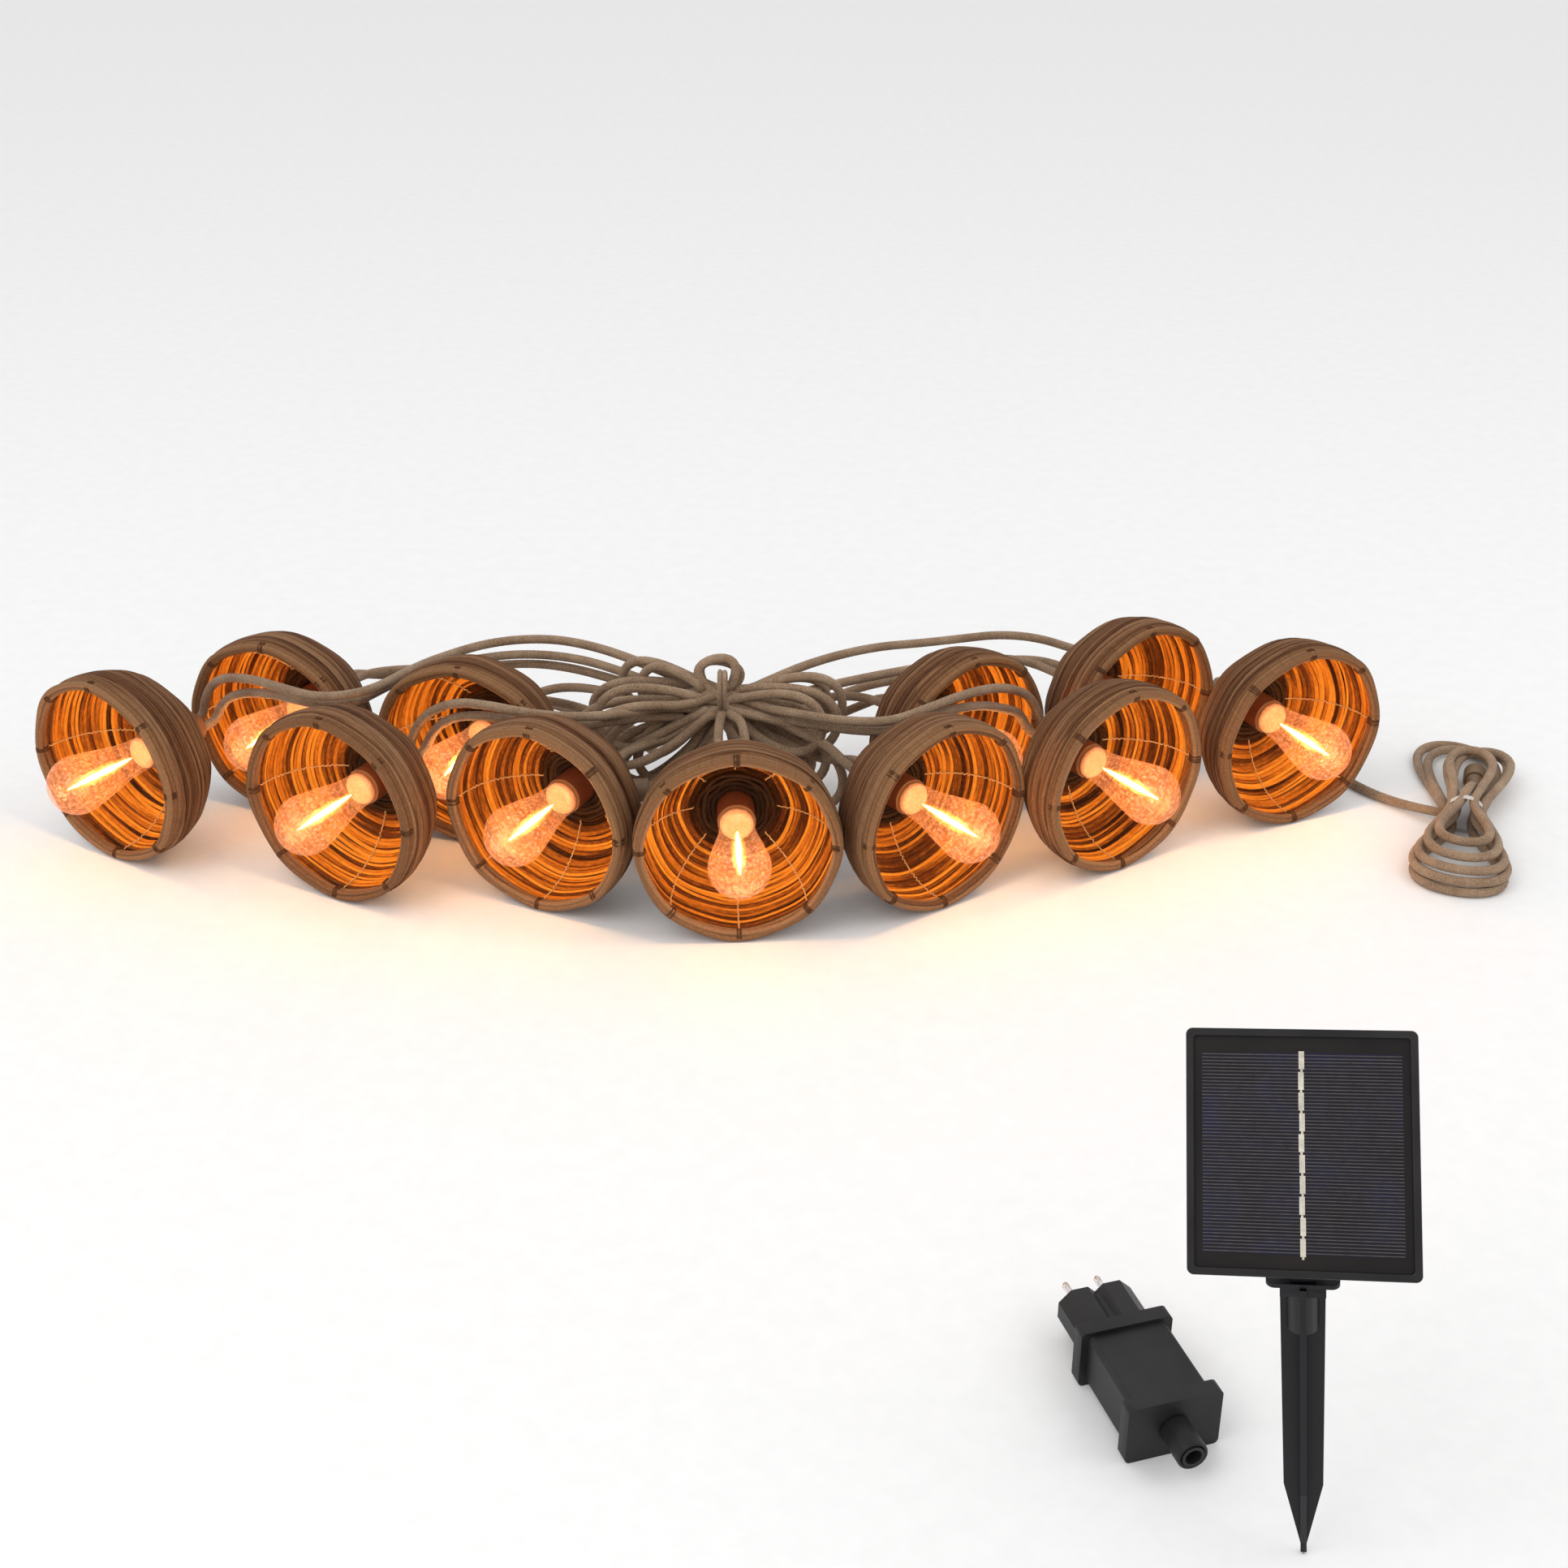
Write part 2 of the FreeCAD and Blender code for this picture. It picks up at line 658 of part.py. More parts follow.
def adapter_case():
    """Hollow case: body, flange and two-lobed head."""
    body = slab("adapter_body_slab", "adapter_width", "adapter_thickness", "3", PLATE_END, BODY_END + " + 1")
    flange = slab("adapter_rim_slab", "adapter_flange_width", "adapter_flange_thickness", "3", BODY_END,
                  RIM_END)
    lobes = [head_lobe("adapter_lobe_left", "-1"), head_lobe("adapter_lobe_right", "1")]
    bridge = block("adapter_bridge", ("-pin_spacing / 4", "pin_spacing / 4"), ("-9", "9"),
                   (RIM_END + " - 1", HEAD_END + " - 3"))
    cavity = slab("adapter_cavity", "adapter_width - 2 * adapter_wall", "adapter_thickness - 2 * adapter_wall",
                  "1.5", PLATE_END + " - 1", RIM_END + " - 2")
    holes = [rod("adapter_pin_hole_%d" % index, "pin_radius - 0.2", HEAD_END + " - 12", HEAD_END + " + 1",
                 at=("%s * pin_spacing / 2" % side, "0", "0")) for index, side in ((1, "-1"), (2, "1"))]
    case = carved("adapter_case", joined("adapter_solid", [body, flange, bridge] + lobes), [cavity] + holes)
    case.Placement = adapter_place
    return case


def adapter_end_plate():
    """Flange that closes the case, with the outlet's boss and bore."""
    flange = slab("adapter_plate_slab", "adapter_flange_width", "adapter_flange_thickness", "3",
                  "outlet_length", PLATE_END)
    boss = rod("adapter_boss", "outlet_boss_radius", "0", "outlet_length + 1")
    bore = rod("adapter_bore", "outlet_bore", "-1", "outlet_length - 4")
    plate = carved("adapter_end_plate", joined("adapter_plate_solid", [flange, boss]), [bore])
    plate.Placement = adapter_place
    return plate


def adapter_transformer():
    """Converter block inside the case."""
    core = slab("adapter_transformer", "adapter_width - 12", "adapter_thickness - 10", "1",
                PLATE_END + " + 4", BODY_END + " - 2")
    core.Placement = adapter_place
    return core


def mains_pin(side):
    """Round mains pin, seated in the head."""
    seat = "(pin_radius - 0.2)"
    corners = [("0", HEAD_END + " - 12"), (seat, HEAD_END + " - 12"), (seat, HEAD_END),
               ("pin_radius", HEAD_END), ("pin_radius", HEAD_END + " + pin_length - 1.5"),
               ("pin_radius - 1", HEAD_END + " + pin_length"), ("0", HEAD_END + " + pin_length")]
    spot = adapter_place.multiply(Placement(Vector(side * dim("pin_spacing") / 2, 0, 0), Rotation()))
    return turned("mains_pin_%s" % ("left" if side < 0 else "right"), corners, place=spot)


def outlet_nut():
    """Knurled union nut that runs round the outlet's boss."""
    inner = "(outlet_boss_radius + 0.3)"
    corners = [(inner, "0.5"), ("outlet_nut_radius", "0.5"), ("outlet_nut_radius", "outlet_length - 0.5"),
               (inner, "outlet_length - 0.5")]
    return turned("outlet_nut", corners, place=adapter_place)


keep(adapter_case(), adapter_end_plate(), adapter_transformer(), outlet_nut())
keep(group("adapter_pins", [mains_pin(-1), mains_pin(1)]))

# ---------------------------------------------------------------- cords

CORD = dim("cord_diameter")
BUNDLE_MIDDLE = Vector(-6, 322, dim("bundle_centre_height"))
HANK_SPOT = Vector(590, 307, 0)
HANK_TURN = -17.6
TAIL_SPOT = Vector(-28, 263, 60)

# Each lamp has two cord exits, one on each side of its axis.  A leg runs from an exit to the bundle:
# how far it goes straight out, then its hand-laid points.
LEGS = {
    (1, -1): (20, [(392, 442, 72), (368, 459, 70), (336, 470, 73), (302, 478, 80), (270, 486, 88),
                   (236, 484, 92), (202, 470, 94), (168, 452, 98), (134, 432, 104), (102, 408, 108),
                   (72, 382, 110), (46, 358, 109), (26, 340, 107)]),
    (2, 1): (19, [(258, 474, 74), (226, 468, 74), (192, 453, 73), (158, 437, 73), (124, 420, 75),
                  (92, 400, 72), (62, 378, 68), (40, 358, 66)]),
    (2, -1): (18, [(250, 460, 80), (222, 448, 86), (192, 430, 90), (160, 414, 92), (128, 396, 94),
                   (96, 376, 96), (66, 354, 98), (44, 340, 99)]),
    (3, 1): (12, [(252, 338, 94), (242, 327, 112), (218, 305, 127), (190, 280, 132), (162, 258, 131),
                 (136, 250, 124), (108, 266, 116), (80, 286, 110), (58, 298, 109), (40, 306, 108)]),
    (3, -1): (13, [(239, 331, 92), (228, 315, 103), (205, 294, 117), (181, 275, 122), (156, 256, 121),
                   (134, 256, 113), (108, 274, 105), (82, 293, 100), (60, 305, 98)]),
    (4, 1): (16, [(118, 408, 62), (92, 400, 54), (66, 381, 50), (46, 359, 50)]),
    (4, -1): (17, [(106, 397, 76), (84, 384, 80), (62, 366, 85), (45, 349, 88)]),
    (5, 1): (18, [(98, 302, 66), (80, 311, 62)]),
    (5, -1): (16, [(88, 292, 84), (70, 301, 88)]),
    (6, 1): (14, [(27, 266, 89), (25, 280, 101), (20, 295, 108)]),
    (6, -1): (14, [(6, 265, 89), (5, 279, 101), (7, 295, 108)]),
    (7, 1): (15, [(-64, 296, 79)]),
    (7, -1): (15, [(-77, 302, 67)]),
    (8, 1): (20, [(-132, 408, 78), (-108, 400, 82), (-84, 382, 86), (-62, 362, 88), (-46, 350, 89)]),
    (8, -1): (19, [(-148, 416, 64), (-120, 418, 58), (-92, 404, 54), (-68, 384, 52), (-48, 362, 52)]),
    (9, 1): (14, [(-214, 293, 94), (-199, 285, 110), (-176, 274, 118), (-150, 262, 120), (-126, 262, 114),
                  (-102, 278, 107), (-78, 293, 103), (-56, 305, 101)]),
    (9, -1): (13, [(-229, 297, 92), (-216, 290, 112), (-192, 278, 127), (-164, 263, 131),
                   (-136, 252, 130), (-108, 262, 122), (-82, 280, 114), (-58, 295, 111),
                   (-38, 305, 110)]),
    (10, 1): (20, [(-276, 451, 74), (-246, 456, 73), (-214, 450, 76), (-182, 444, 82), (-150, 434, 88),
                   (-118, 416, 92), (-88, 394, 94), (-62, 372, 96), (-42, 352, 97)]),
    (10, -1): (19, [(-290, 460, 66), (-260, 468, 60), (-228, 468, 56), (-196, 462, 52), (-164, 454, 48),
                    (-132, 444, 44), (-102, 428, 40), (-76, 406, 38), (-56, 382, 37), (-42, 362, 37)]),
    (11, 1): (13, [(-386, 347, 94), (-370, 336, 107), (-346, 324, 113), (-318, 306, 115),
                   (-290, 298, 113), (-272, 312, 111), (-262, 336, 108), (-252, 362, 104),
                   (-240, 386, 100), (-224, 408, 98), (-198, 424, 96), (-168, 432, 97),
                   (-136, 424, 100), (-104, 404, 104), (-74, 378, 106), (-48, 356, 106),
                   (-30, 342, 105)]),
    (11, -1): (13, [(-402, 356, 95), (-388, 346, 115), (-360, 328, 124), (-330, 304, 127),
                    (-298, 287, 126), (-270, 300, 123), (-254, 326, 119), (-244, 354, 115),
                    (-232, 382, 111), (-214, 408, 108), (-190, 430, 107), (-160, 438, 108),
                    (-128, 430, 111), (-96, 408, 114), (-68, 382, 116), (-42, 358, 116),
                    (-22, 342, 115)]),
}
LEAD_POINTS = (18, [(414, 450, 64), (430, 472, 46), (458, 481, 26), (486, 468, 11), (502, 440, 4.5),
                    (508, 410, 4), (520, 380, 4), (540, 354, 4), (562, 332, 7), (580, 314, 12)])
TAIL_POINTS = [(-10, 296, 50), (-8, 276, 52), (-16, 264, 57), TAIL_SPOT]


def leg_route(number, side, straight, points):
    """Points of a cord from one exit of a lamp's gland."""
    place = lamp_place(number)
    across = side * dim("exit_spacing") / 2
    start = place.multVec(Vector(across, 0, -dim("gland_back")))
    ahead = place.multVec(Vector(across, 0, -dim("gland_back") - straight))
    return [start, ahead] + [Vector(*point) for point in points]


def tube(name, route):
    """Round cord along straight runs joined by tangent arcs."""
    route = [Vector(*point) for point in route]
    edges = []
    radii = []
    position = route[0]
    for before, corner, after in zip(route, route[1:], route[2:]):
        inward = (before - corner).normalize()
        outward = (after - corner).normalize()
        half_turn = (math.pi - inward.getAngle(outward)) / 2
        reach = 0.45 * min(before.distanceToPoint(corner), after.distanceToPoint(corner))
        radius = reach / math.tan(half_turn)
        radii.append(radius)
        first = corner + inward * reach
        last = corner + outward * reach
        bisector = (inward + outward).normalize()
        top = corner + bisector * (radius / math.cos(half_turn) - radius)
        edges.append(Part.LineSegment(position, first).toShape())
        edges.append(Part.Arc(first, top, last).toShape())
        position = last
    edges.append(Part.LineSegment(position, route[-1]).toShape())
    path = Part.Wire(edges)
    circle = Part.makeCircle(CORD / 2, route[0], route[1] - route[0])
    solid = path.makePipeShell([Part.Wire(circle)], True, False)
    expected = math.pi * (CORD / 2) ** 2 * path.Length
    print("%-22s length %5.0f  least radius %5.1f  volume ratio %.4f"
          % (name, path.Length, min(radii), solid.Volume / expected))
    return solid


def cord(label, routes):
    """Tubes of one cord outside the bundle, each a separate solid."""
    solids = [tube(label, route) for route in routes]
    feature = doc.addObject("Part::Feature", label)
    feature.Label = label
    feature.Shape = solids[0] if len(solids) == 1 else Part.makeCompound(solids)
    return feature


def leg(number, side):
    """Route of one leg by lamp and side."""
    straight, points = LEGS[number, side]
    return leg_route(number, side, straight, points)


def egg(label, half_width, half_length, half_height, at):
    """Ellipsoid with its half sizes along X, Y and Z."""
    body = doc.addObject("Part::Ellipsoid", label)
    body.setExpression("Radius1", bound(half_height))
    body.setExpression("Radius2", bound(half_width))
    body.setExpression("Radius3", bound(half_length))
    body.Placement = Placement(at, Rotation())
    return body


def string_bundle():
    """Outer shape of the tied bundle of spare cord, flat on the floor."""
    heap = egg("bundle_heap", "bundle_half_width", "bundle_half_depth", "bundle_half_height", BUNDLE_MIDDLE)
    floor = block("bundle_floor", ("-200", "200"), ("100", "500"), ("-200", "0"))
    return carved("string_bundle", heap, [floor])


def bundle_tie():
    """Soft band round the neck of the bundle's loops."""
    corners = [("bundle_tie_radius - 1.5", "-4"), ("bundle_tie_radius", "-4"), ("bundle_tie_radius", "4"),
               ("bundle_tie_radius - 1.5", "4")]
    spot = Placement(Vector(8, 308, 122), Rotation(Vector(0, 1, 0), 90))
    return turned("bundle_tie", corners, place=spot)


HANK_PLACE = Placement(HANK_SPOT, Rotation(Vector(0, 0, 1), HANK_TURN))


def lead_hank():
    """Outer shape of the wound feed lead: a short full lobe, a tied waist and a longer flat lobe,
    hollow underneath where the lead's plug is tucked in."""
    level = dim("hank_centre_height")
    front = egg("hank_front", "hank_front_half_width", "hank_front_half_length", "hank_front_half_height",
                Vector(0, -dim("hank_front_half_length") + 2, level))
    back = egg("hank_back", "hank_back_half_width", "hank_back_half_length", "hank_back_half_height",
               Vector(0, dim("hank_back_half_length") - 2, level))
    waist = rod("hank_waist_rod", "hank_waist", "-22", "22", "y", ("0", "0", "hank_centre_height"))
    floor = block("hank_floor", ("-100", "100"), ("-200", "300"), ("-100", "0"))
    pocket = block("hank_pocket", ("plug_offset - plug_room", "plug_offset + plug_room"),
                   ("plug_start + 3", "plug_start + 44"), ("-1", "2 * plug_room"))
    hank = carved("lead_hank", joined("hank_solid", [front, waist, back]), [floor, pocket])
    hank.Placement = HANK_PLACE
    return hank


def hank_tie():
    """White tie round the waist of the hank."""
    corners = [("hank_waist", "-3"), ("hank_waist + 0.4", "-3"), ("hank_waist + 0.4", "3"),
               ("hank_waist", "3")]
    spot = Placement(Vector(0, 0, dim("hank_centre_height")), Rotation(Vector(1, 0, 0), -90))
    return turned("hank_tie", corners, place=HANK_PLACE.multiply(spot))


def connector(label, place, relief):
    """Round plug with a tapered strain relief, turned along the cord."""
    corners = [("0", "0"), ("(cord_diameter / 2)", "0"), ("(connector_radius - 1)", relief),
               ("connector_radius", relief + " + 1"), ("connector_radius", relief + " + 22"),
               ("0", relief + " + 22")]
    return turned(label, corners, place=place)


def collar_nut(label, place, start, length):
    """Union nut that turns freely round a connector."""
    inner = "(connector_radius + 0.3)"
    corners = [(inner, start), ("connector_nut_radius", start), ("connector_nut_radius", start + " + " + length),
               (inner, start + " + " + length)]
    return turned(label, corners, place=place)


LEAD_PLUG_PLACE = HANK_PLACE.multiply(
    Placement(Vector(dim("plug_offset"), dim("plug_start"), dim("connector_nut_radius") + 0.2),
              Rotation(Vector(1, 0, 0), -90))
)
TAIL_PLACE = Placement(TAIL_SPOT, Rotation(Vector(0, 1, 0), -90))


def tail_cap():
    """Closed screw cap over the tail socket's mouth."""
    inner = "(connector_radius + 0.3)"
    corners = [("0", "35.5"), (inner, "35.5"), (inner, "20"), ("connector_nut_radius", "20"),
               ("connector_nut_radius", "38"), ("6", "44"), ("0", "44")]
    return turned("tail_cap", corners, place=TAIL_PLACE)


for number in range(1, 11):
    keep(cord("cord_%02d" % number, [leg(number, -1), leg(number + 1, 1)]))
keep(cord("tail_cord", [leg(11, -1), TAIL_POINTS]))
keep(cord("lead_cord", [leg_route(1, 1, *LEAD_POINTS)]))
keep(string_bundle(), lead_hank(), group("cord_ties", [bundle_tie(), hank_tie()]))
keep(group("cord_connectors", [connector("lead_plug", LEAD_PLUG_PLACE, "12"),
                               connector("tail_socket", TAIL_PLACE, "12")]))
keep(collar_nut("lead_plug_nut", LEAD_PLUG_PLACE, "15", "16"), tail_cap())

# ---------------------------------------------------------------- check and write

doc.recompute()
for item in doc.Objects:
    if "Invalid" in item.State or "Error" in item.State:
        raise RuntimeError("%s did not recompute: %s" % (item.Label, item.State))
for item in SUBPARTS:
    if item.Shape.isNull() or not item.Shape.isValid():
        raise RuntimeError("%s has no valid shape" % item.Label)
os.makedirs("parts", exist_ok=True)
for item in SUBPARTS:
    item.Shape.exportStep(os.path.join("parts", item.Label + ".step"))
print(len(SUBPARTS), "sub-parts written")
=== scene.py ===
import json
import math
import random

import bpy
from mathutils import Matrix, Vector


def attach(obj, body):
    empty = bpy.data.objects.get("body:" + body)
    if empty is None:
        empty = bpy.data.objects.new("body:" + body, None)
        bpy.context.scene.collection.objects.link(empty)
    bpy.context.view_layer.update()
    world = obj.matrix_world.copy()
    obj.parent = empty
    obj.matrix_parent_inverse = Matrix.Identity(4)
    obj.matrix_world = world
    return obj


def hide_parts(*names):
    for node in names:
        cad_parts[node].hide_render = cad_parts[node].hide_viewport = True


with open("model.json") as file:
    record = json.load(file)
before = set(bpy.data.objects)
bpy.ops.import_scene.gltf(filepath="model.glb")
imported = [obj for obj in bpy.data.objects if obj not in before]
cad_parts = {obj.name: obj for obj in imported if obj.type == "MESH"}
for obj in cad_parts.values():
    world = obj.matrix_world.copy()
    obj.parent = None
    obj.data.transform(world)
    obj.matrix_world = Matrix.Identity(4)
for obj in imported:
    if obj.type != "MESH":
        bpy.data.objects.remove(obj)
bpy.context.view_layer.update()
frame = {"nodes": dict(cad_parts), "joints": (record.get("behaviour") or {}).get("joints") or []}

# Looks of the solar string lights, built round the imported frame.  Metres throughout.

nodes = frame["nodes"]
joints = {joint["name"]: joint for joint in frame["joints"]}

# ---------------------------------------------------------------- camera

CAMERA_SPOT = (0.055, -1.200, 0.829)
CAMERA_PITCH = 27.57
CAMERA_LENS = 50.0

camera_data = bpy.data.cameras.new("camera")
camera_data.lens = CAMERA_LENS
camera_data.sensor_width = 36.0
camera = bpy.data.objects.new("camera", camera_data)
camera.location = CAMERA_SPOT
camera.rotation_euler = (math.radians(90 - CAMERA_PITCH), 0, 0)
bpy.context.scene.collection.objects.link(camera)
bpy.context.scene.camera = camera

# ---------------------------------------------------------------- places taken from the record


def frame_matrix(across, upward, outward, origin):
    """Matrix that takes local X, Y and Z to three directions at an origin."""
    matrix = Matrix((across, upward, outward)).transposed().to_4x4()
    matrix.translation = origin
    return matrix


def lamp_matrix(number):
    """A lamp's own axes: Z out of the opening from the middle of the rim, Y up."""
    joint = joints["bulb_%02d_turn" % number]
    outward = Vector(joint["axis"]).normalized()
    upward = Vector((0, 0, 1))
    return frame_matrix(upward.cross(outward), upward, outward, Vector(joint["pos_m"]))


PIVOT_ABOVE_EDGE = 0.012
PIVOT_BEHIND_FRONT = 0.030


def panel_matrix():
    """The panel's own axes: X across, Y up its face from the lower edge, Z out of the face."""
    across = Vector(joints["panel_tilt"]["axis"]).normalized()
    outward = Vector(joints["power_button_press"]["axis"]).normalized()
    upward = outward.cross(across)
    pivot = Vector(joints["panel_tilt"]["pos_m"])
    origin = pivot - upward * PIVOT_ABOVE_EDGE + outward * PIVOT_BEHIND_FRONT
    return frame_matrix(across, upward, outward, origin)


LAMPS = {number: lamp_matrix(number) for number in range(1, 12)}
PANEL = panel_matrix()
HANK_SPOT = (0.590, 0.307, 0.0)
HANK_TURN = -17.6
HANK = Matrix.Translation(HANK_SPOT) @ Matrix.Rotation(math.radians(HANK_TURN), 4, "Z")

# ---------------------------------------------------------------- mesh helpers


class Shape:
    """Points, faces, material numbers and tones gathered before they become one mesh."""

    def __init__(self):
        self.points = []
        self.faces = []
        self.numbers = []
        self.tones = []
        self.marks = []

    def add(self, points, faces, number=0, tone=0.5, marks=None):
        """Adds one part; tone is a value or a list, marks are (u, v) pairs for its points."""
        base = len(self.points)
        self.points.extend(points)
        self.faces.extend(tuple(index + base for index in face) for face in faces)
        self.numbers.extend([number] * len(faces))
        self.tones.extend(tone if isinstance(tone, list) else [tone] * len(points))
        self.marks.extend(marks or [(0.0, 0.0)] * len(points))

    def build(self, name, body, materials, matrix=None, replaces=(), smooth=True):
        """Makes the object, gives it its materials and lets it ride on a body."""
        mesh = bpy.data.meshes.new(name)
        mesh.from_pydata([tuple(point) for point in self.points], [], self.faces)
        if matrix is not None:
            mesh.transform(matrix)
        mesh.polygons.foreach_set("material_index", self.numbers)
        mesh.polygons.foreach_set("use_smooth", [smooth] * len(mesh.polygons))
        tone = mesh.attributes.new("tone", "FLOAT", "POINT")
        tone.data.foreach_set("value", self.tones)
        layer = mesh.uv_layers.new(name="UVMap")
        corners = [0] * len(mesh.loops)
        mesh.loops.foreach_get("vertex_index", corners)
        flat = [value for corner in corners for value in self.marks[corner]]
        layer.data.foreach_set("uv", flat)
        for item in materials:
            mesh.materials.append(item)
        mesh.update()
        made = bpy.data.objects.new(name, mesh)
        bpy.context.scene.collection.objects.link(made)
        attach(made, body)
        if replaces:
            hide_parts(*replaces)
        return made


def ring_faces(rings, sides, closed_rings=False, caps=False):
    """Quads between rings of points that follow each other."""
    faces = []
    last = rings if closed_rings else rings - 1
    for ring in range(last):
        here = ring * sides
        there = ((ring + 1) % rings) * sides
        for side in range(sides):
            beside = (side + 1) % sides
            faces.append((here + side, here + beside, there + beside, there + side))
    if caps and not closed_rings:
        faces.append(tuple(range(sides - 1, -1, -1)))
        faces.append(tuple((rings - 1) * sides + side for side in range(sides)))
    return faces


def lathe(outline, steps=48):
    """Points and faces of an outline of (radius, height) pairs turned about Z."""
    points = []
    for radius, height in outline:
        for step in range(steps):
            angle = 2 * math.pi * step / steps
            points.append((radius * math.cos(angle), radius * math.sin(angle), height))
    return points, ring_faces(len(outline), steps)


def tube(line, radius, sides=8, closed=False, relief=None):
    """Points, faces and marks of a tube along a line; relief(along, angle) scales its radius."""
    count = len(line)
    line = [Vector(point) for point in line]
    points = []
    marks = []
    along = 0.0
    normal = None
    for index, point in enumerate(line):
        ahead = line[(index + 1) % count] if closed or index < count - 1 else point
        behind = line[index - 1] if closed or index > 0 else point
        forward = (ahead - behind).normalized()
        if normal is None:
            normal = forward.orthogonal().normalized()
        normal = (normal - forward * normal.dot(forward)).normalized()
        other = forward.cross(normal)
        if index:
            along += (point - line[index - 1]).length
        width = radius[index] if isinstance(radius, list) else radius
        for side in range(sides):
            angle = 2 * math.pi * side / sides
            size = width * (relief(along, angle) if relief else 1.0)
            points.append(point + (normal * math.cos(angle) + other * math.sin(angle)) * size)
            marks.append((along, side / sides))
    return points, ring_faces(count, sides, closed, not closed), marks


def box_part(low, high):
    """Points and faces of a box between two corners."""
    points = [(x, y, z) for x in (low[0], high[0]) for y in (low[1], high[1]) for z in (low[2], high[2])]
    faces = [(0, 1, 3, 2), (4, 6, 7, 5), (0, 4, 5, 1), (2, 3, 7, 6), (0, 2, 6, 4), (1, 5, 7, 3)]
    return points, faces


def resampled(line, step):
    """The same line with points evenly spaced, and its length."""
    lengths = [0.0]
    for before, after in zip(line, line[1:]):
        lengths.append(lengths[-1] + (after - before).length)
    count = max(2, round(lengths[-1] / step))
    made = []
    index = 0
    for number in range(count + 1):
        target = lengths[-1] * number / count
        while index < len(line) - 2 and lengths[index + 1] < target:
            index += 1
        span = lengths[index + 1] - lengths[index]
        share = (target - lengths[index]) / span if span else 0.0
        made.append(line[index].lerp(line[index + 1], share))
    return made, lengths[-1]

# ---------------------------------------------------------------- material helpers


class Finish:
    """A procedural material and short ways to add its nodes."""

    def __init__(self, name, **sockets):
        self.material = bpy.data.materials.new(name)
        self.material.use_nodes = True
        self.tree = self.material.node_tree
        self.shader = self.tree.nodes["Principled BSDF"]
        for socket, value in sockets.items():
            self.shader.inputs[socket.replace("_", " ")].default_value = value

    def node(self, kind, settings=None, **sockets):
        """Adds a node; a socket's value is a constant or another node's output."""
        made = self.tree.nodes.new("ShaderNode" + kind)
        for key, value in (settings or {}).items():
            setattr(made, key, value)
        for socket, value in sockets.items():
            self.join(value, made.inputs[socket.replace("_", " ")])
        return made

    def join(self, value, socket):
        """Sets or links one socket."""
        if isinstance(value, bpy.types.NodeSocket):
            self.tree.links.new(value, socket)
        else:
            socket.default_value = value

    def place(self, stretch=(1, 1, 1), by="Object"):
        """Coordinates for a texture, stretched along each axis."""
        coordinates = self.node("TexCoord")
        mapping = self.node("Mapping", Vector=coordinates.outputs[by])
        mapping.inputs["Scale"].default_value = stretch
        return mapping.outputs["Vector"]

    def noise(self, scale, detail=4.0, roughness=0.6, stretch=(1, 1, 1), by="Object"):
        """Noise between 0 and 1."""
        made = self.node("TexNoise", Vector=self.place(stretch, by), Scale=scale, Detail=detail,
                         Roughness=roughness)
        return made.outputs["Fac"]

    def tone(self):
        """The tone stored on the mesh's points."""
        return self.node("Attribute", {"attribute_name": "tone"}).outputs["Fac"]

    def math(self, kind, first, second, third=None):
        """One arithmetic step."""
        made = self.node("Math", {"operation": kind})
        values = [first, second] + ([third] if third is not None else [])
        for index, value in enumerate(values):
            self.join(value, made.inputs[index])
        return made.outputs[0]

    def ramp(self, factor, stops):
        """Colour ramp through (position, colour) stops."""
        made = self.node("ValToRGB", Fac=factor)
        ramp = made.color_ramp
        while len(ramp.elements) < len(stops):
            ramp.elements.new(0.5)
        for element, (position, colour) in zip(ramp.elements, stops):
            element.position = position
            element.color = (*colour, 1)
        return made.outputs["Color"]

    def colour(self, value):
        """Sets or links the base colour."""
        self.join(value, self.shader.inputs["Base Color"])

    def rough(self, factor, low, high):
        """Roughness between two values."""
        made = self.node("MapRange", Value=factor)
        made.inputs["To Min"].default_value = low
        made.inputs["To Max"].default_value = high
        self.join(made.outputs["Result"], self.shader.inputs["Roughness"])

    def bump(self, height, strength, distance):
        """Bump from a height."""
        made = self.node("Bump", Height=height, Strength=strength, Distance=distance)
        self.join(made.outputs["Normal"], self.shader.inputs["Normal"])

    def painted_glow(self, colour, strength):
        """Painted glow: emission of a constant strength, standing in for light that falls on a part which is
        no lamp.
        """
        self.join(colour, self.shader.inputs["Emission Color"])
        self.shader.inputs["Emission Strength"].default_value = strength


def rope_finish():
    """Fuzzy knitted cord cover, beige with brown flecks."""
    finish = Finish("rope_cover", Specular_IOR_Level=0.15, Sheen_Weight=0.12, Sheen_Roughness=0.6)
    fibres = finish.noise(900, 5, 0.75)
    patches = finish.noise(45, 3, 0.6)
    mixed = finish.math("ADD", finish.math("MULTIPLY", fibres, 0.75), finish.math("MULTIPLY", patches, 0.3))
    finish.colour(finish.ramp(mixed, [(0.28, (0.075, 0.038, 0.020)), (0.42, (0.21, 0.125, 0.070)),
                                      (0.55, (0.36, 0.24, 0.15)), (0.72, (0.54, 0.40, 0.27))]))
    finish.rough(fibres, 0.8, 1.0)
    finish.bump(fibres, 0.7, 0.0012)
    return finish.material


ROPE = rope_finish()

# ---------------------------------------------------------------- free cords: facts and routes

CORD_DIAMETER = 0.0075
ROPE_STEP = 0.0024
EXIT_SPACING = 0.013
GLAND_BACK = 0.098
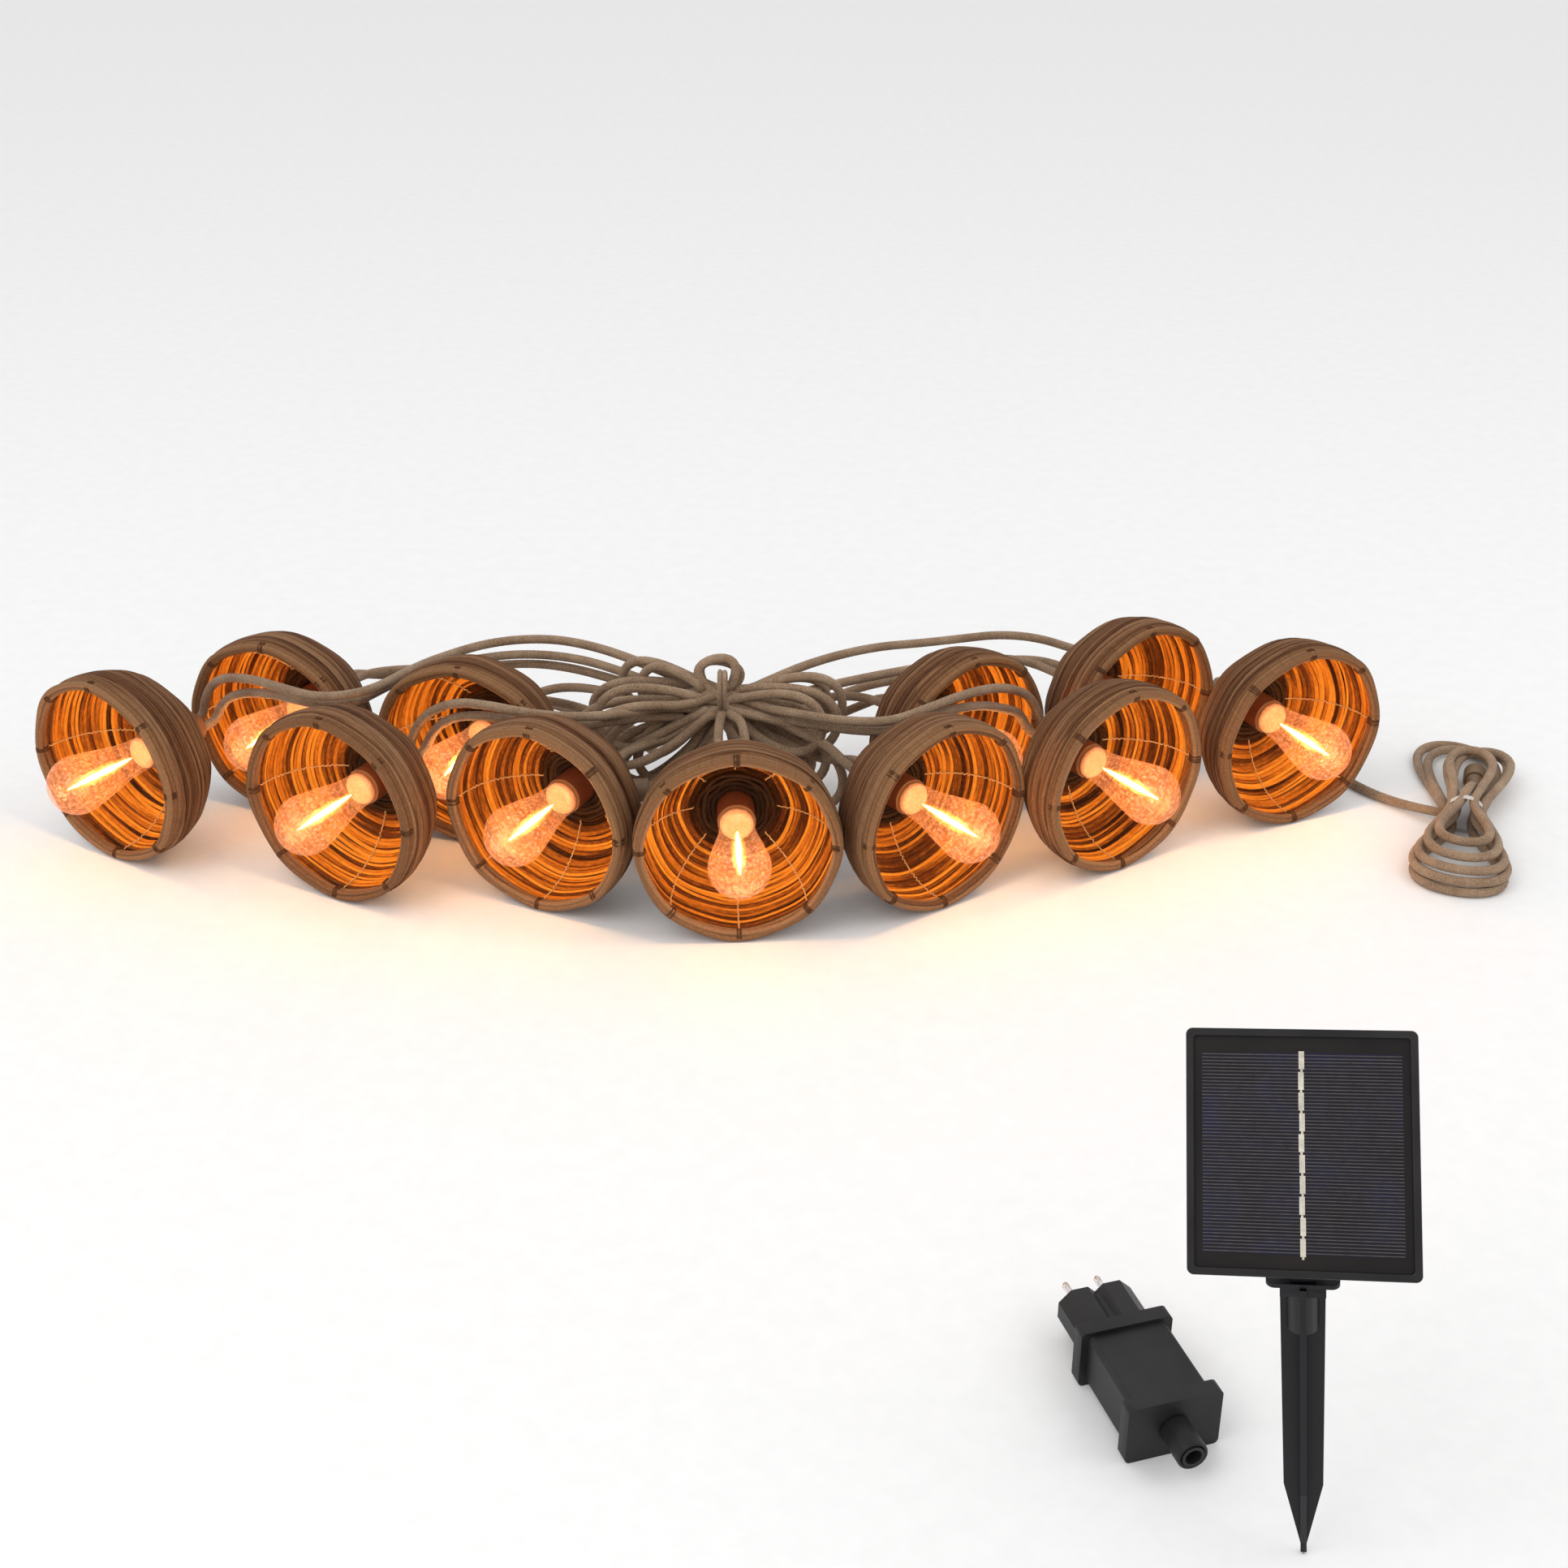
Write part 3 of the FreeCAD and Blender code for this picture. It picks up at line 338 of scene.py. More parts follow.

# Legs between a lamp's exit and the bundle: (lamp, side): (straight run, listed points).
LEGS = {
    (1, -1): (0.02, [
        (0.392, 0.442, 0.072), (0.368, 0.459, 0.07), (0.336, 0.47, 0.073), (0.302, 0.478, 0.08),
        (0.27, 0.486, 0.088), (0.236, 0.484, 0.092), (0.202, 0.47, 0.094), (0.168, 0.452, 0.098),
        (0.134, 0.432, 0.104), (0.102, 0.408, 0.108), (0.072, 0.382, 0.11), (0.046, 0.358, 0.109),
        (0.026, 0.34, 0.107)
    ]),
    (2, 1): (0.019, [
        (0.258, 0.474, 0.074), (0.226, 0.468, 0.074), (0.192, 0.453, 0.073), (0.158, 0.437, 0.073),
        (0.124, 0.42, 0.075), (0.092, 0.4, 0.072), (0.062, 0.378, 0.068), (0.04, 0.358, 0.066)
    ]),
    (2, -1): (0.018, [
        (0.25, 0.46, 0.08), (0.222, 0.448, 0.086), (0.192, 0.43, 0.09), (0.16, 0.414, 0.092),
        (0.128, 0.396, 0.094), (0.096, 0.376, 0.096), (0.066, 0.354, 0.098), (0.044, 0.34, 0.099)
    ]),
    (3, 1): (0.012, [
        (0.252, 0.338, 0.094), (0.242, 0.327, 0.112), (0.218, 0.305, 0.127), (0.19, 0.28, 0.132),
        (0.162, 0.258, 0.131), (0.136, 0.25, 0.124), (0.108, 0.266, 0.116), (0.08, 0.286, 0.11),
        (0.058, 0.298, 0.109), (0.04, 0.306, 0.108)
    ]),
    (3, -1): (0.013, [
        (0.239, 0.331, 0.092), (0.228, 0.315, 0.103), (0.205, 0.294, 0.117), (0.181, 0.275, 0.122),
        (0.156, 0.256, 0.121), (0.134, 0.256, 0.113), (0.108, 0.274, 0.105), (0.082, 0.293, 0.1),
        (0.06, 0.305, 0.098)
    ]),
    (4, 1): (0.016, [
        (0.118, 0.408, 0.062), (0.092, 0.4, 0.054), (0.066, 0.381, 0.05), (0.046, 0.359, 0.05)
    ]),
    (4, -1): (0.017, [
        (0.106, 0.397, 0.076), (0.084, 0.384, 0.08), (0.062, 0.366, 0.085), (0.045, 0.349, 0.088)
    ]),
    (5, 1): (0.018, [
        (0.098, 0.302, 0.066), (0.08, 0.311, 0.062)
    ]),
    (5, -1): (0.016, [
        (0.088, 0.292, 0.084), (0.07, 0.301, 0.088)
    ]),
    (6, 1): (0.014, [
        (0.027, 0.266, 0.089), (0.025, 0.28, 0.101), (0.02, 0.295, 0.108)
    ]),
    (6, -1): (0.014, [
        (0.006, 0.265, 0.089), (0.005, 0.279, 0.101), (0.007, 0.295, 0.108)
    ]),
    (7, 1): (0.015, [
        (-0.064, 0.296, 0.079)
    ]),
    (7, -1): (0.015, [
        (-0.077, 0.302, 0.067)
    ]),
    (8, 1): (0.02, [
        (-0.132, 0.408, 0.078), (-0.108, 0.4, 0.082), (-0.084, 0.382, 0.086), (-0.062, 0.362, 0.088),
        (-0.046, 0.35, 0.089)
    ]),
    (8, -1): (0.019, [
        (-0.148, 0.416, 0.064), (-0.12, 0.418, 0.058), (-0.092, 0.404, 0.054), (-0.068, 0.384, 0.052),
        (-0.048, 0.362, 0.052)
    ]),
    (9, 1): (0.014, [
        (-0.214, 0.293, 0.094), (-0.199, 0.285, 0.11), (-0.176, 0.274, 0.118), (-0.15, 0.262, 0.12),
        (-0.126, 0.262, 0.114), (-0.102, 0.278, 0.107), (-0.078, 0.293, 0.103), (-0.056, 0.305, 0.101)
    ]),
    (9, -1): (0.013, [
        (-0.229, 0.297, 0.092), (-0.216, 0.29, 0.112), (-0.192, 0.278, 0.127), (-0.164, 0.263, 0.131),
        (-0.136, 0.252, 0.13), (-0.108, 0.262, 0.122), (-0.082, 0.28, 0.114), (-0.058, 0.295, 0.111),
        (-0.038, 0.305, 0.11)
    ]),
    (10, 1): (0.02, [
        (-0.276, 0.451, 0.074), (-0.246, 0.456, 0.073), (-0.214, 0.45, 0.076), (-0.182, 0.444, 0.082),
        (-0.15, 0.434, 0.088), (-0.118, 0.416, 0.092), (-0.088, 0.394, 0.094), (-0.062, 0.372, 0.096),
        (-0.042, 0.352, 0.097)
    ]),
    (10, -1): (0.019, [
        (-0.29, 0.46, 0.066), (-0.26, 0.468, 0.06), (-0.228, 0.468, 0.056), (-0.196, 0.462, 0.052),
        (-0.164, 0.454, 0.048), (-0.132, 0.444, 0.044), (-0.102, 0.428, 0.04), (-0.076, 0.406, 0.038),
        (-0.056, 0.382, 0.037), (-0.042, 0.362, 0.037)
    ]),
    (11, 1): (0.013, [
        (-0.386, 0.347, 0.094), (-0.37, 0.336, 0.107), (-0.346, 0.324, 0.113), (-0.318, 0.306, 0.115),
        (-0.29, 0.298, 0.113), (-0.272, 0.312, 0.111), (-0.262, 0.336, 0.108), (-0.252, 0.362, 0.104),
        (-0.24, 0.386, 0.1), (-0.224, 0.408, 0.098), (-0.198, 0.424, 0.096), (-0.168, 0.432, 0.097),
        (-0.136, 0.424, 0.1), (-0.104, 0.404, 0.104), (-0.074, 0.378, 0.106), (-0.048, 0.356, 0.106),
        (-0.03, 0.342, 0.105)
    ]),
    (11, -1): (0.013, [
        (-0.402, 0.356, 0.095), (-0.388, 0.346, 0.115), (-0.36, 0.328, 0.124), (-0.33, 0.304, 0.127),
        (-0.298, 0.287, 0.126), (-0.27, 0.3, 0.123), (-0.254, 0.326, 0.119), (-0.244, 0.354, 0.115),
        (-0.232, 0.382, 0.111), (-0.214, 0.408, 0.108), (-0.19, 0.43, 0.107), (-0.16, 0.438, 0.108),
        (-0.128, 0.43, 0.111), (-0.096, 0.408, 0.114), (-0.068, 0.382, 0.116), (-0.042, 0.358, 0.116),
        (-0.022, 0.342, 0.115)
    ]),
}
LEAD_STRAIGHT = 0.018
LEAD_POINTS = [
    (0.414, 0.45, 0.064), (0.43, 0.472, 0.046), (0.458, 0.481, 0.026), (0.486, 0.468, 0.011),
    (0.502, 0.44, 0.0045), (0.508, 0.41, 0.004), (0.52, 0.38, 0.004), (0.54, 0.354, 0.004),
    (0.562, 0.332, 0.007), (0.58, 0.314, 0.012)
]
TAIL_POINTS = [
    (-0.01, 0.296, 0.05), (-0.008, 0.276, 0.052), (-0.016, 0.264, 0.057), (-0.028, 0.263, 0.06)
]

# Where the bundle's loops meet, and each cord's loops there: (direction in degrees in the upright
# plane across the view, reach, half width, how far its end lies behind the meeting place).
MEETING = Vector((0.008, 0.312, 0.112))
LOOPS = {
    1: [(-158, 0.105, 0.026, 0.028)],
    2: [(-28, 0.085, 0.024, 0.040), (-172, 0.075, 0.022, 0.034)],
    3: [(-12, 0.082, 0.024, -0.018), (-150, 0.118, 0.026, 0.012), (78, 0.032, 0.016, 0.004)],
    4: [(-38, 0.100, 0.025, 0.006), (-164, 0.100, 0.024, -0.012), (-62, 0.098, 0.024, 0.020)],
    5: [(-22, 0.092, 0.026, -0.006), (-146, 0.118, 0.026, -0.022), (-118, 0.104, 0.026, 0.024)],
    6: [(-46, 0.118, 0.027, -0.016), (-154, 0.122, 0.029, 0.036), (-8, 0.094, 0.025, 0.012)],
    7: [(-168, 0.096, 0.026, 0.002), (-33, 0.094, 0.024, 0.030), (-132, 0.104, 0.024, 0.010)],
    8: [(-18, 0.088, 0.026, 0.046), (-142, 0.108, 0.024, 0.030)],
    9: [(-52, 0.100, 0.024, 0.034), (-176, 0.070, 0.024, 0.044)],
    10: [(105, 0.030, 0.015, 0.012)],
    "tail": [(-128, 0.094, 0.024, -0.004), (-74, 0.090, 0.024, -0.014)],
}
LOOP_POINTS = 14
LOWEST = 0.0042


def loop_points(root, direction, reach, half_width, behind):
    """One loop of spare cord, out from its root and back, as points of the cord's own spline."""
    angle = math.radians(direction)
    out = Vector((math.cos(angle), 0, math.sin(angle)))
    across = Vector((-math.sin(angle), 0, math.cos(angle)))
    points = []
    for step in range(1, LOOP_POINTS):
        share = step / LOOP_POINTS
        swing = math.sin(math.pi * share)
        point = root + out * reach * swing + across * half_width * math.sin(2 * math.pi * share)
        point.y += behind * swing
        point.z = max(point.z, LOWEST + 0.001 * step)
        points.append(point)
    return points


def leg_route(number, side, straight, points):
    """Points of a leg from one exit of a lamp's gland, straight back first."""
    across = side * EXIT_SPACING / 2
    start = LAMPS[number] @ Vector((across, 0, -GLAND_BACK))
    ahead = LAMPS[number] @ Vector((across, 0, -GLAND_BACK - straight))
    return [start, ahead] + [Vector(point) for point in points]


def loops_route(key, seed):
    """Every loop that a cord makes in the bundle, with a point at the meeting place before each."""
    chance = random.Random(seed)
    route = []
    for direction, reach, half_width, behind in LOOPS[key]:
        shift = Vector((chance.uniform(-0.007, 0.007), chance.uniform(-0.014, 0.014),
                        chance.uniform(-0.009, 0.009)))
        root = MEETING + shift
        route.append(root)
        route += loop_points(root, direction, reach, half_width, behind)
    return route


def hank_route():
    """Turns of the spare lead: each goes round the far lobe, through the tied waist and round the
    near lobe."""
    # (waist x, waist z, far half width, far end, far lean, far z, near half width, near end, near z)
    turns = [
        (0.0038, 0.0045, 0.031, 0.146, -0.014, 0.0042, 0.034, -0.106, 0.0042),
        (0.0095, 0.0100, 0.028, 0.136, -0.006, 0.0060, 0.035, -0.104, 0.0118),
        (0.0038, 0.0155, 0.024, 0.126, 0.010, 0.0110, 0.032, -0.099, 0.0190),
        (0.0095, 0.0210, 0.021, 0.116, 0.016, 0.0170, 0.026, -0.091, 0.0260),
        (0.0038, 0.0265, 0.017, 0.100, 0.002, 0.0240, 0.019, -0.078, 0.0320),
    ]
    route = []
    for waist, height, far_width, far_end, lean, far_height, near_width, near_end, near_height in turns:
        for step in range(1, 12):
            angle = math.pi * step / 12
            out = math.sin(angle) ** 0.8
            sway = -waist * math.cos(angle) - (far_width - 0.7 * waist) * math.sin(2 * angle)
            point = Vector((sway + lean * out, far_end * out, height + (far_height - height) * out))
            route.append(HANK @ point)
        for step in range(0, 13):
            angle = math.pi * step / 12
            out = math.sin(angle) ** 0.8
            sway = waist * math.cos(angle) + (near_width - 0.7 * waist) * math.sin(2 * angle)
            point = Vector((sway, near_end * out, height + (near_height - height) * out))
            route.append(HANK @ point)
    tail = [(0.0, 0.016, 0.030), (0.003, 0.032, 0.026), (0.006, 0.046, 0.016), (0.006, 0.060, 0.012)]
    return route + [HANK @ Vector(point) for point in tail]


def spline_line(name, points):
    """Points read from the smooth spline that has the route's points as its control points."""
    curve = bpy.data.curves.new(name, "CURVE")
    curve.dimensions = "3D"
    curve.resolution_u = 8
    spline = curve.splines.new("NURBS")
    spline.points.add(len(points) - 1)
    for control, point in zip(spline.points, points):
        control.co = (*point, 1)
    spline.order_u = 3
    spline.use_endpoint_u = True
    carrier = bpy.data.objects.new(name, curve)
    mesh = bpy.data.meshes.new_from_object(carrier)
    line = [vertex.co.copy() for vertex in mesh.vertices]
    bpy.data.meshes.remove(mesh)
    bpy.data.objects.remove(carrier)
    bpy.data.curves.remove(curve)
    return line


def knitted(along, angle):
    """Relief of the knitted cover: small bumps on two crossing spirals."""
    turn = 2 * math.pi * along / 0.009
    return 0.965 + 0.035 * math.cos(3 * angle + turn) * math.cos(3 * angle - turn)


def free_cord(name, points, replaces):
    """A rope-covered cord along a route; its real length is printed."""
    line, real = resampled(spline_line(name, points), ROPE_STEP)
    print("cord %-10s %.3f m" % (name, real))
    shape = Shape()
    solid, faces, marks = tube(line, CORD_DIAMETER / 2, 12, relief=knitted)
    shape.add(solid, faces, marks=marks)
    made = shape.build(name, "root", [ROPE], replaces=replaces)
    return made


def string_cords():
    """The cords between neighbouring lamps, each with its spare length looped in the bundle."""
    for number in range(1, 11):
        first = leg_route(number, -1, *LEGS[number, -1])
        second = leg_route(number + 1, 1, *LEGS[number + 1, 1])
        route = first + loops_route(number, number) + list(reversed(second))
        replaced = ["cord_%02d" % number] + (["string_bundle"] if number == 6 else [])
        free_cord("rope_%02d" % number, route, replaced)


string_cords()
free_cord("rope_tail", leg_route(11, -1, *LEGS[11, -1]) + loops_route("tail", 11)
          + [Vector(point) for point in TAIL_POINTS], ["tail_cord"])
free_cord("rope_lead", leg_route(1, 1, LEAD_STRAIGHT, LEAD_POINTS) + hank_route(),
          ["lead_cord", "lead_hank"])

# ---------------------------------------------------------------- woven shades

RIBS = 8
SEGMENTS = 80
DOME_MIDDLE = 0.0126
DOME_REACH = 0.0624
BAND_DEPTH = 0.014
BAND_RUN = 0.006


def dome_point(run, inset):
    """Radius, height and outward direction (radius, height) at a run along the dome from its band,
    set in from the outer skin."""
    if run < BAND_RUN:
        return DOME_MIDDLE + DOME_REACH - inset, -BAND_DEPTH + (BAND_RUN - run), 1.0, 0.0
    angle = (run - BAND_RUN) / DOME_REACH
    outward = (math.cos(angle), -math.sin(angle))
    reach = DOME_REACH - inset
    return DOME_MIDDLE + reach * outward[0], -BAND_DEPTH + reach * outward[1], outward[0], outward[1]


def woven_rows(shape, number, rows, runs, inset, half_width, half_thick, chance, wander, dark_from):
    """Rows of flat strand wound round the dome; each wanders a little between the ribs."""
    sides = 6
    for row in range(rows):
        middle = runs[0] + (runs[1] - runs[0]) * (row + 0.5) / rows
        shifts = [chance.uniform(-wander, wander) for _ in range(RIBS)]
        bows = [chance.uniform(-0.0002, 0.0013) for _ in range(RIBS)]
        depth = inset + chance.uniform(-0.0003, 0.0003)
        width = half_width * chance.uniform(0.72, 1.15)
        level = chance.uniform(0.25, 1.0)
        levels = [min(1, max(0, level + chance.uniform(-0.22, 0.22))) for _ in range(RIBS)]
        if middle > dark_from:
            levels = [value * 0.22 for value in levels]
        points = []
        tones = []
        marks = []
        for segment in range(SEGMENTS):
            around = 2 * math.pi * segment / SEGMENTS
            sector = RIBS * segment / SEGMENTS
            rib = int(sector)
            share = sector - rib
            ease = share * share * (3 - 2 * share)
            nearby = (rib + 1) % RIBS
            run = middle + shifts[rib] * (1 - ease) + shifts[nearby] * ease
            run += bows[rib] * math.sin(math.pi * share)
            flat = 0.0011 * math.sin(math.pi * share) ** 2
            radius, height, out_r, out_z = dome_point(run, depth + flat)
            for side in range(sides):
                angle = 2 * math.pi * side / sides
                along = width * math.cos(angle)
                proud = half_thick * math.sin(angle)
                r = radius + out_z * along + out_r * proud
                z = height - out_r * along + out_z * proud
                points.append((r * math.cos(around), r * math.sin(around), z))
                tones.append(levels[rib] * (1 - ease) + levels[nearby] * ease)
                marks.append((segment / SEGMENTS * 40 + row * 7.3, row + side / sides))
        shape.add(points, ring_faces(SEGMENTS, sides, True), number, tones, marks)


def dark_liner(shape, number):
    """Thin dark layer between the two layers of strands; its material has a painted glow of the bulb's light.
    """
    outline = [dome_point(run * 0.001, 0.0022)[:2] for run in range(7, 100, 4)]
    points, faces = lathe(outline, 48)
    shape.add(points, faces, number, 0.1)


def bound_rim(shape, number, chance):
    """Rim of thick strands round the mouth, bound at every rib."""
    strands = [(0.0718, -0.0022, 0.0024), (0.0688, -0.0024, 0.0020), (0.0720, -0.0062, 0.0022),
               (0.0690, -0.0064, 0.0018), (0.0725, -0.0100, 0.0019), (0.0727, -0.0134, 0.0018),
               (0.0727, -0.0166, 0.0017), (0.0722, -0.0198, 0.0017)]
    for radius, height, thick in strands:
        phase = chance.uniform(0, 6)
        line = []
        for segment in range(96):
            around = 2 * math.pi * segment / 96
            wobble = 0.0003 * math.sin(3 * around + phase) + 0.0002 * math.sin(7 * around + 2 * phase)
            share = (RIBS * segment / 96) % 1
            pull = 0.0010 * math.sin(math.pi * share) ** 2
            line.append(((radius + wobble - pull) * math.cos(around),
                         (radius + wobble - pull) * math.sin(around), height + wobble))
        points, faces, marks = tube(line, thick, 8, closed=True)
        shape.add(points, faces, number, chance.uniform(0.3, 0.8), marks)
    for rib in range(RIBS):
        for turn in range(3):
            around = 2 * math.pi * rib / RIBS + math.pi / 2 + (turn - 1) * 0.022 + chance.uniform(-0.01, 0.01)
            loop = []
            for step in range(14):
                angle = 2 * math.pi * step / 14
                radius = 0.0702 + 0.0040 * math.cos(angle)
                height = -0.0044 + 0.0046 * math.sin(angle)
                loop.append((radius * math.cos(around), radius * math.sin(around), height))
            points, faces, marks = tube(loop, 0.0007, 5, closed=True)
            shape.add(points, faces, number, 0.15, marks)


def rib_ties(shape, number, chance):
    """Thin pale threads laced over the rows along each rib, inside the dome."""
    for rib in range(RIBS):
        around = 2 * math.pi * rib / RIBS + math.pi / 2
        line = []
        steps = 46
        for step in range(steps):
            run = 0.001 + 0.083 * step / (steps - 1)
            radius, height, _, _ = dome_point(run, 0.0056 + 0.0005 * math.cos(math.pi * step))
            sway = around + (0.0005 * math.sin(2.6 * step + rib) + chance.uniform(-0.0002, 0.0002)) / radius
            line.append((radius * math.cos(sway), radius * math.sin(sway), height))
        points, faces, marks = tube(line, 0.00055, 5)
        shape.add(points, faces, number, chance.uniform(0.5, 0.9), marks)


def crown_braid(shape, number, chance):
    """Dark rings of thick strand round the socket, inside the crown."""
    rings = [(0.0166, -0.0668, 0.0021), (0.0203, -0.0672, 0.0020), (0.0240, -0.0668, 0.0018),
             (0.0280, -0.0655, 0.0015), (0.0185, -0.0702, 0.0020), (0.0225, -0.0700, 0.0018)]
    for radius, height, thick in rings:
        phase = chance.uniform(0, 6)
        line = []
        for segment in range(56):
            around = 2 * math.pi * segment / 56
            wave = 0.0006 * math.sin(6 * around + phase)
            line.append(((radius + wave) * math.cos(around), (radius + wave) * math.sin(around),
                         height + 0.0005 * math.cos(9 * around + phase)))
        points, faces, marks = tube(line, thick, 7, closed=True)
        shape.add(points, faces, number, chance.uniform(0.0, 0.45), marks)


def strand_finish(name, stops, painted_glow=0.0, grain=(1.6, 9.0, 1)):
    """Twisted paper strand with fine streaks along it; a glow strength, when given, adds a painted glow of
    the bulb's light.
    """
    finish = Finish(name, Specular_IOR_Level=0.12)
    streaks = finish.noise(1.0, 4, 0.65, grain, "UV")
    fibres = finish.noise(1100, 3, 0.7)
    mixed = finish.math("ADD", finish.math("MULTIPLY", finish.tone(), 0.62),
                        finish.math("MULTIPLY_ADD", streaks, 0.5, -0.06))
    colour = finish.ramp(mixed, stops)
    finish.colour(colour)
    finish.rough(fibres, 0.55, 0.85)
    finish.bump(finish.math("ADD", streaks, finish.math("MULTIPLY", fibres, 0.4)), 0.6, 0.0007)
    # Painted glow of the bulb's light on the strand, which is no lamp.
    if painted_glow:
        finish.painted_glow(finish.ramp(mixed, stops), painted_glow)
    return finish.material


# INSIDE_STOPS: the inner strands' amber is partly their own colour and partly painted light of the bulb on
# them.
INSIDE_STOPS = [(0.26, (0.018, 0.005, 0.001)), (0.44, (0.13, 0.030, 0.004)),
                (0.62, (0.42, 0.110, 0.008)), (0.88, (0.66, 0.23, 0.02))]
OUTSIDE_STOPS = [(0.20, (0.038, 0.012, 0.005)), (0.42, (0.115, 0.046, 0.019)),
                 (0.65, (0.19, 0.088, 0.040)), (0.90, (0.30, 0.165, 0.085))]
LINER_STOPS = [(0.2, (0.16, 0.030, 0.006)), (0.8, (0.34, 0.070, 0.012))]
RIM_STOPS = [(0.20, (0.050, 0.018, 0.007)), (0.42, (0.15, 0.066, 0.028)), (0.85, (0.32, 0.17, 0.08))]
THREAD_STOPS = [(0.2, (0.34, 0.15, 0.04)), (0.8, (0.66, 0.36, 0.13))]
BRAID_STOPS = [(0.10, (0.015, 0.008, 0.004)), (0.45, (0.06, 0.030, 0.014)), (0.85, (0.20, 0.09, 0.03))]

# Painted glow: the inner strands, liner, rim and threads get emission that stands in for the bulb's light on
# them.
INSIDE = strand_finish("strand_inside", INSIDE_STOPS, 0.62)
OUTSIDE = strand_finish("strand_outside", OUTSIDE_STOPS)
LINER = strand_finish("strand_liner", LINER_STOPS, 0.35)
RIM = strand_finish("strand_rim", RIM_STOPS, 0.15, (420, 5, 1))
THREAD = strand_finish("strand_thread", THREAD_STOPS, 0.3, (700, 3, 1))
BRAID = strand_finish("strand_braid", BRAID_STOPS, 0.0, (420, 5, 1))


def woven_shade(number):
    """The shade of one lamp: outer and inner rows, rim, rib threads and crown rings."""
    chance = random.Random(100 + number)
    shape = Shape()
    woven_rows(shape, 0, 33, (0.001, 0.101), 0.0008, 0.00160, 0.0009, chance, 0.0006, 1.0)
    dark_liner(shape, 1)
    woven_rows(shape, 2, 29, (0.000, 0.092), 0.0040, 0.00155, 0.0008, chance, 0.0010, 0.078)
    bound_rim(shape, 3, chance)
    rib_ties(shape, 4, chance)
    crown_braid(shape, 5, chance)
    replaced = ["shade_%02d" % number] + (["shade_hoops"] if number == 1 else [])
    shape.build("woven_shade_%02d" % number, "root", [OUTSIDE, LINER, INSIDE, RIM, THREAD, BRAID],
                LAMPS[number], replaced)

# ---------------------------------------------------------------- bulbs

BULB_MIDDLE = 0.0219
BULB_RADIUS = 0.0225
BULB_WATTS = 0.13


def glass_outline(inset):
    """Pear outline from the neck to the tip, set in from the outer face."""
    outline = [(0.0128 - inset, -0.0420), (0.0130 - inset, -0.0360), (0.0132 - inset, -0.0300),
               (0.0142 - inset, -0.0215), (0.0160 - inset, -0.0120), (0.0181 - inset, -0.0025),
               (0.0200 - inset, 0.0070)]
    for step in range(1, 15):
        angle = math.radians(-24 + 114 * step / 14.0)
        reach = BULB_RADIUS - inset
        outline.append((max(0.00002, reach * math.cos(angle)), BULB_MIDDLE + reach * math.sin(angle)))
    return outline


def flame_outline(size, low, high):
    """Slender flame between two heights."""
    outline = []
    for step in range(0, 25):
        share = step / 24
        swell = math.sin(math.pi * share) ** 0.75
        ripple = 1 + 0.07 * math.sin(21 * share) + 0.05 * math.sin(47 * share)
        radius = size * swell * ripple * (1.05 - 0.25 * share)
        outline.append((max(0.00002, radius), low + (high - low) * share))
    return outline


def glass_finish():
    """Clear glass full of fine bubbles; its warm colour and glow are painted light of the filament, brightest
    on the bubbles as painted glints.
    """
    finish = Finish("bulb_glass", Roughness=0.10, Alpha=0.38, Specular_IOR_Level=0.6)
    bubbles = finish.noise(420, 4, 0.75)
    seeds = finish.node("TexVoronoi", Vector=finish.place(), Scale=330)
    drops = finish.math("MULTIPLY_ADD", seeds.outputs["Distance"], -1.4, 1.0)
    bubbles_and_glow = finish.math("ADD", finish.math("MULTIPLY", bubbles, 0.6), finish.math("MULTIPLY", drops, 0.35))
    # Painted light: the orange colour and the emission stand in for the filament's warm light in the glass,
    # with painted glints on the bubbles; the bump is the bubbles' own relief.
    finish.colour(finish.ramp(bubbles_and_glow, [(0.34, (0.22, 0.07, 0.02)), (0.52, (0.45, 0.19, 0.08)),
                                     (0.70, (0.80, 0.52, 0.34))]))
    finish.join(finish.ramp(bubbles_and_glow, [(0.34, (0.55, 0.15, 0.04)), (0.52, (0.90, 0.38, 0.16)),
                                   (0.70, (1.0, 0.72, 0.48))]), finish.shader.inputs["Emission Color"])
    finish.shader.inputs["Emission Strength"].default_value = 0.80
    finish.bump(bubbles_and_glow, 0.5, 0.0008)
    return finish.material


def flame_finish(name, colour, strength, alpha):
    """Glow of the filament, brighter in its middle."""
    finish = Finish(name, Alpha=alpha, Roughness=0.5)
    flicker = finish.noise(160, 2)
    finish.colour(finish.ramp(flicker, [(0.3, colour), (0.7, tuple(min(1, 1.1 * part) for part in colour))]))
    finish.join(finish.ramp(flicker, [(0.25, tuple(0.92 * part for part in colour)), (0.7, colour)]),
                finish.shader.inputs["Emission Color"])
    finish.shader.inputs["Emission Strength"].default_value = strength
    return finish.material


GLASS = glass_finish()
FLAME = flame_finish("filament_core", (1.0, 0.93, 0.70), 12.0, 1.0)
GLOW = flame_finish("filament_glow", (1.0, 0.62, 0.14), 1.6, 0.28)
HAZE = flame_finish("filament_haze", (1.0, 0.45, 0.10), 0.8, 0.14)


def brass_finish():
    """Dull plated cap metal."""
    finish = Finish("cap_metal", Metallic=1.0)
    wear = finish.noise(300, 4)
    finish.colour(finish.ramp(wear, [(0.3, (0.50, 0.44, 0.34)), (0.7, (0.72, 0.68, 0.58))]))
    finish.rough(wear, 0.25, 0.5)
    finish.bump(wear, 0.15, 0.0003)
    return finish.material


CAP_METAL = brass_finish()


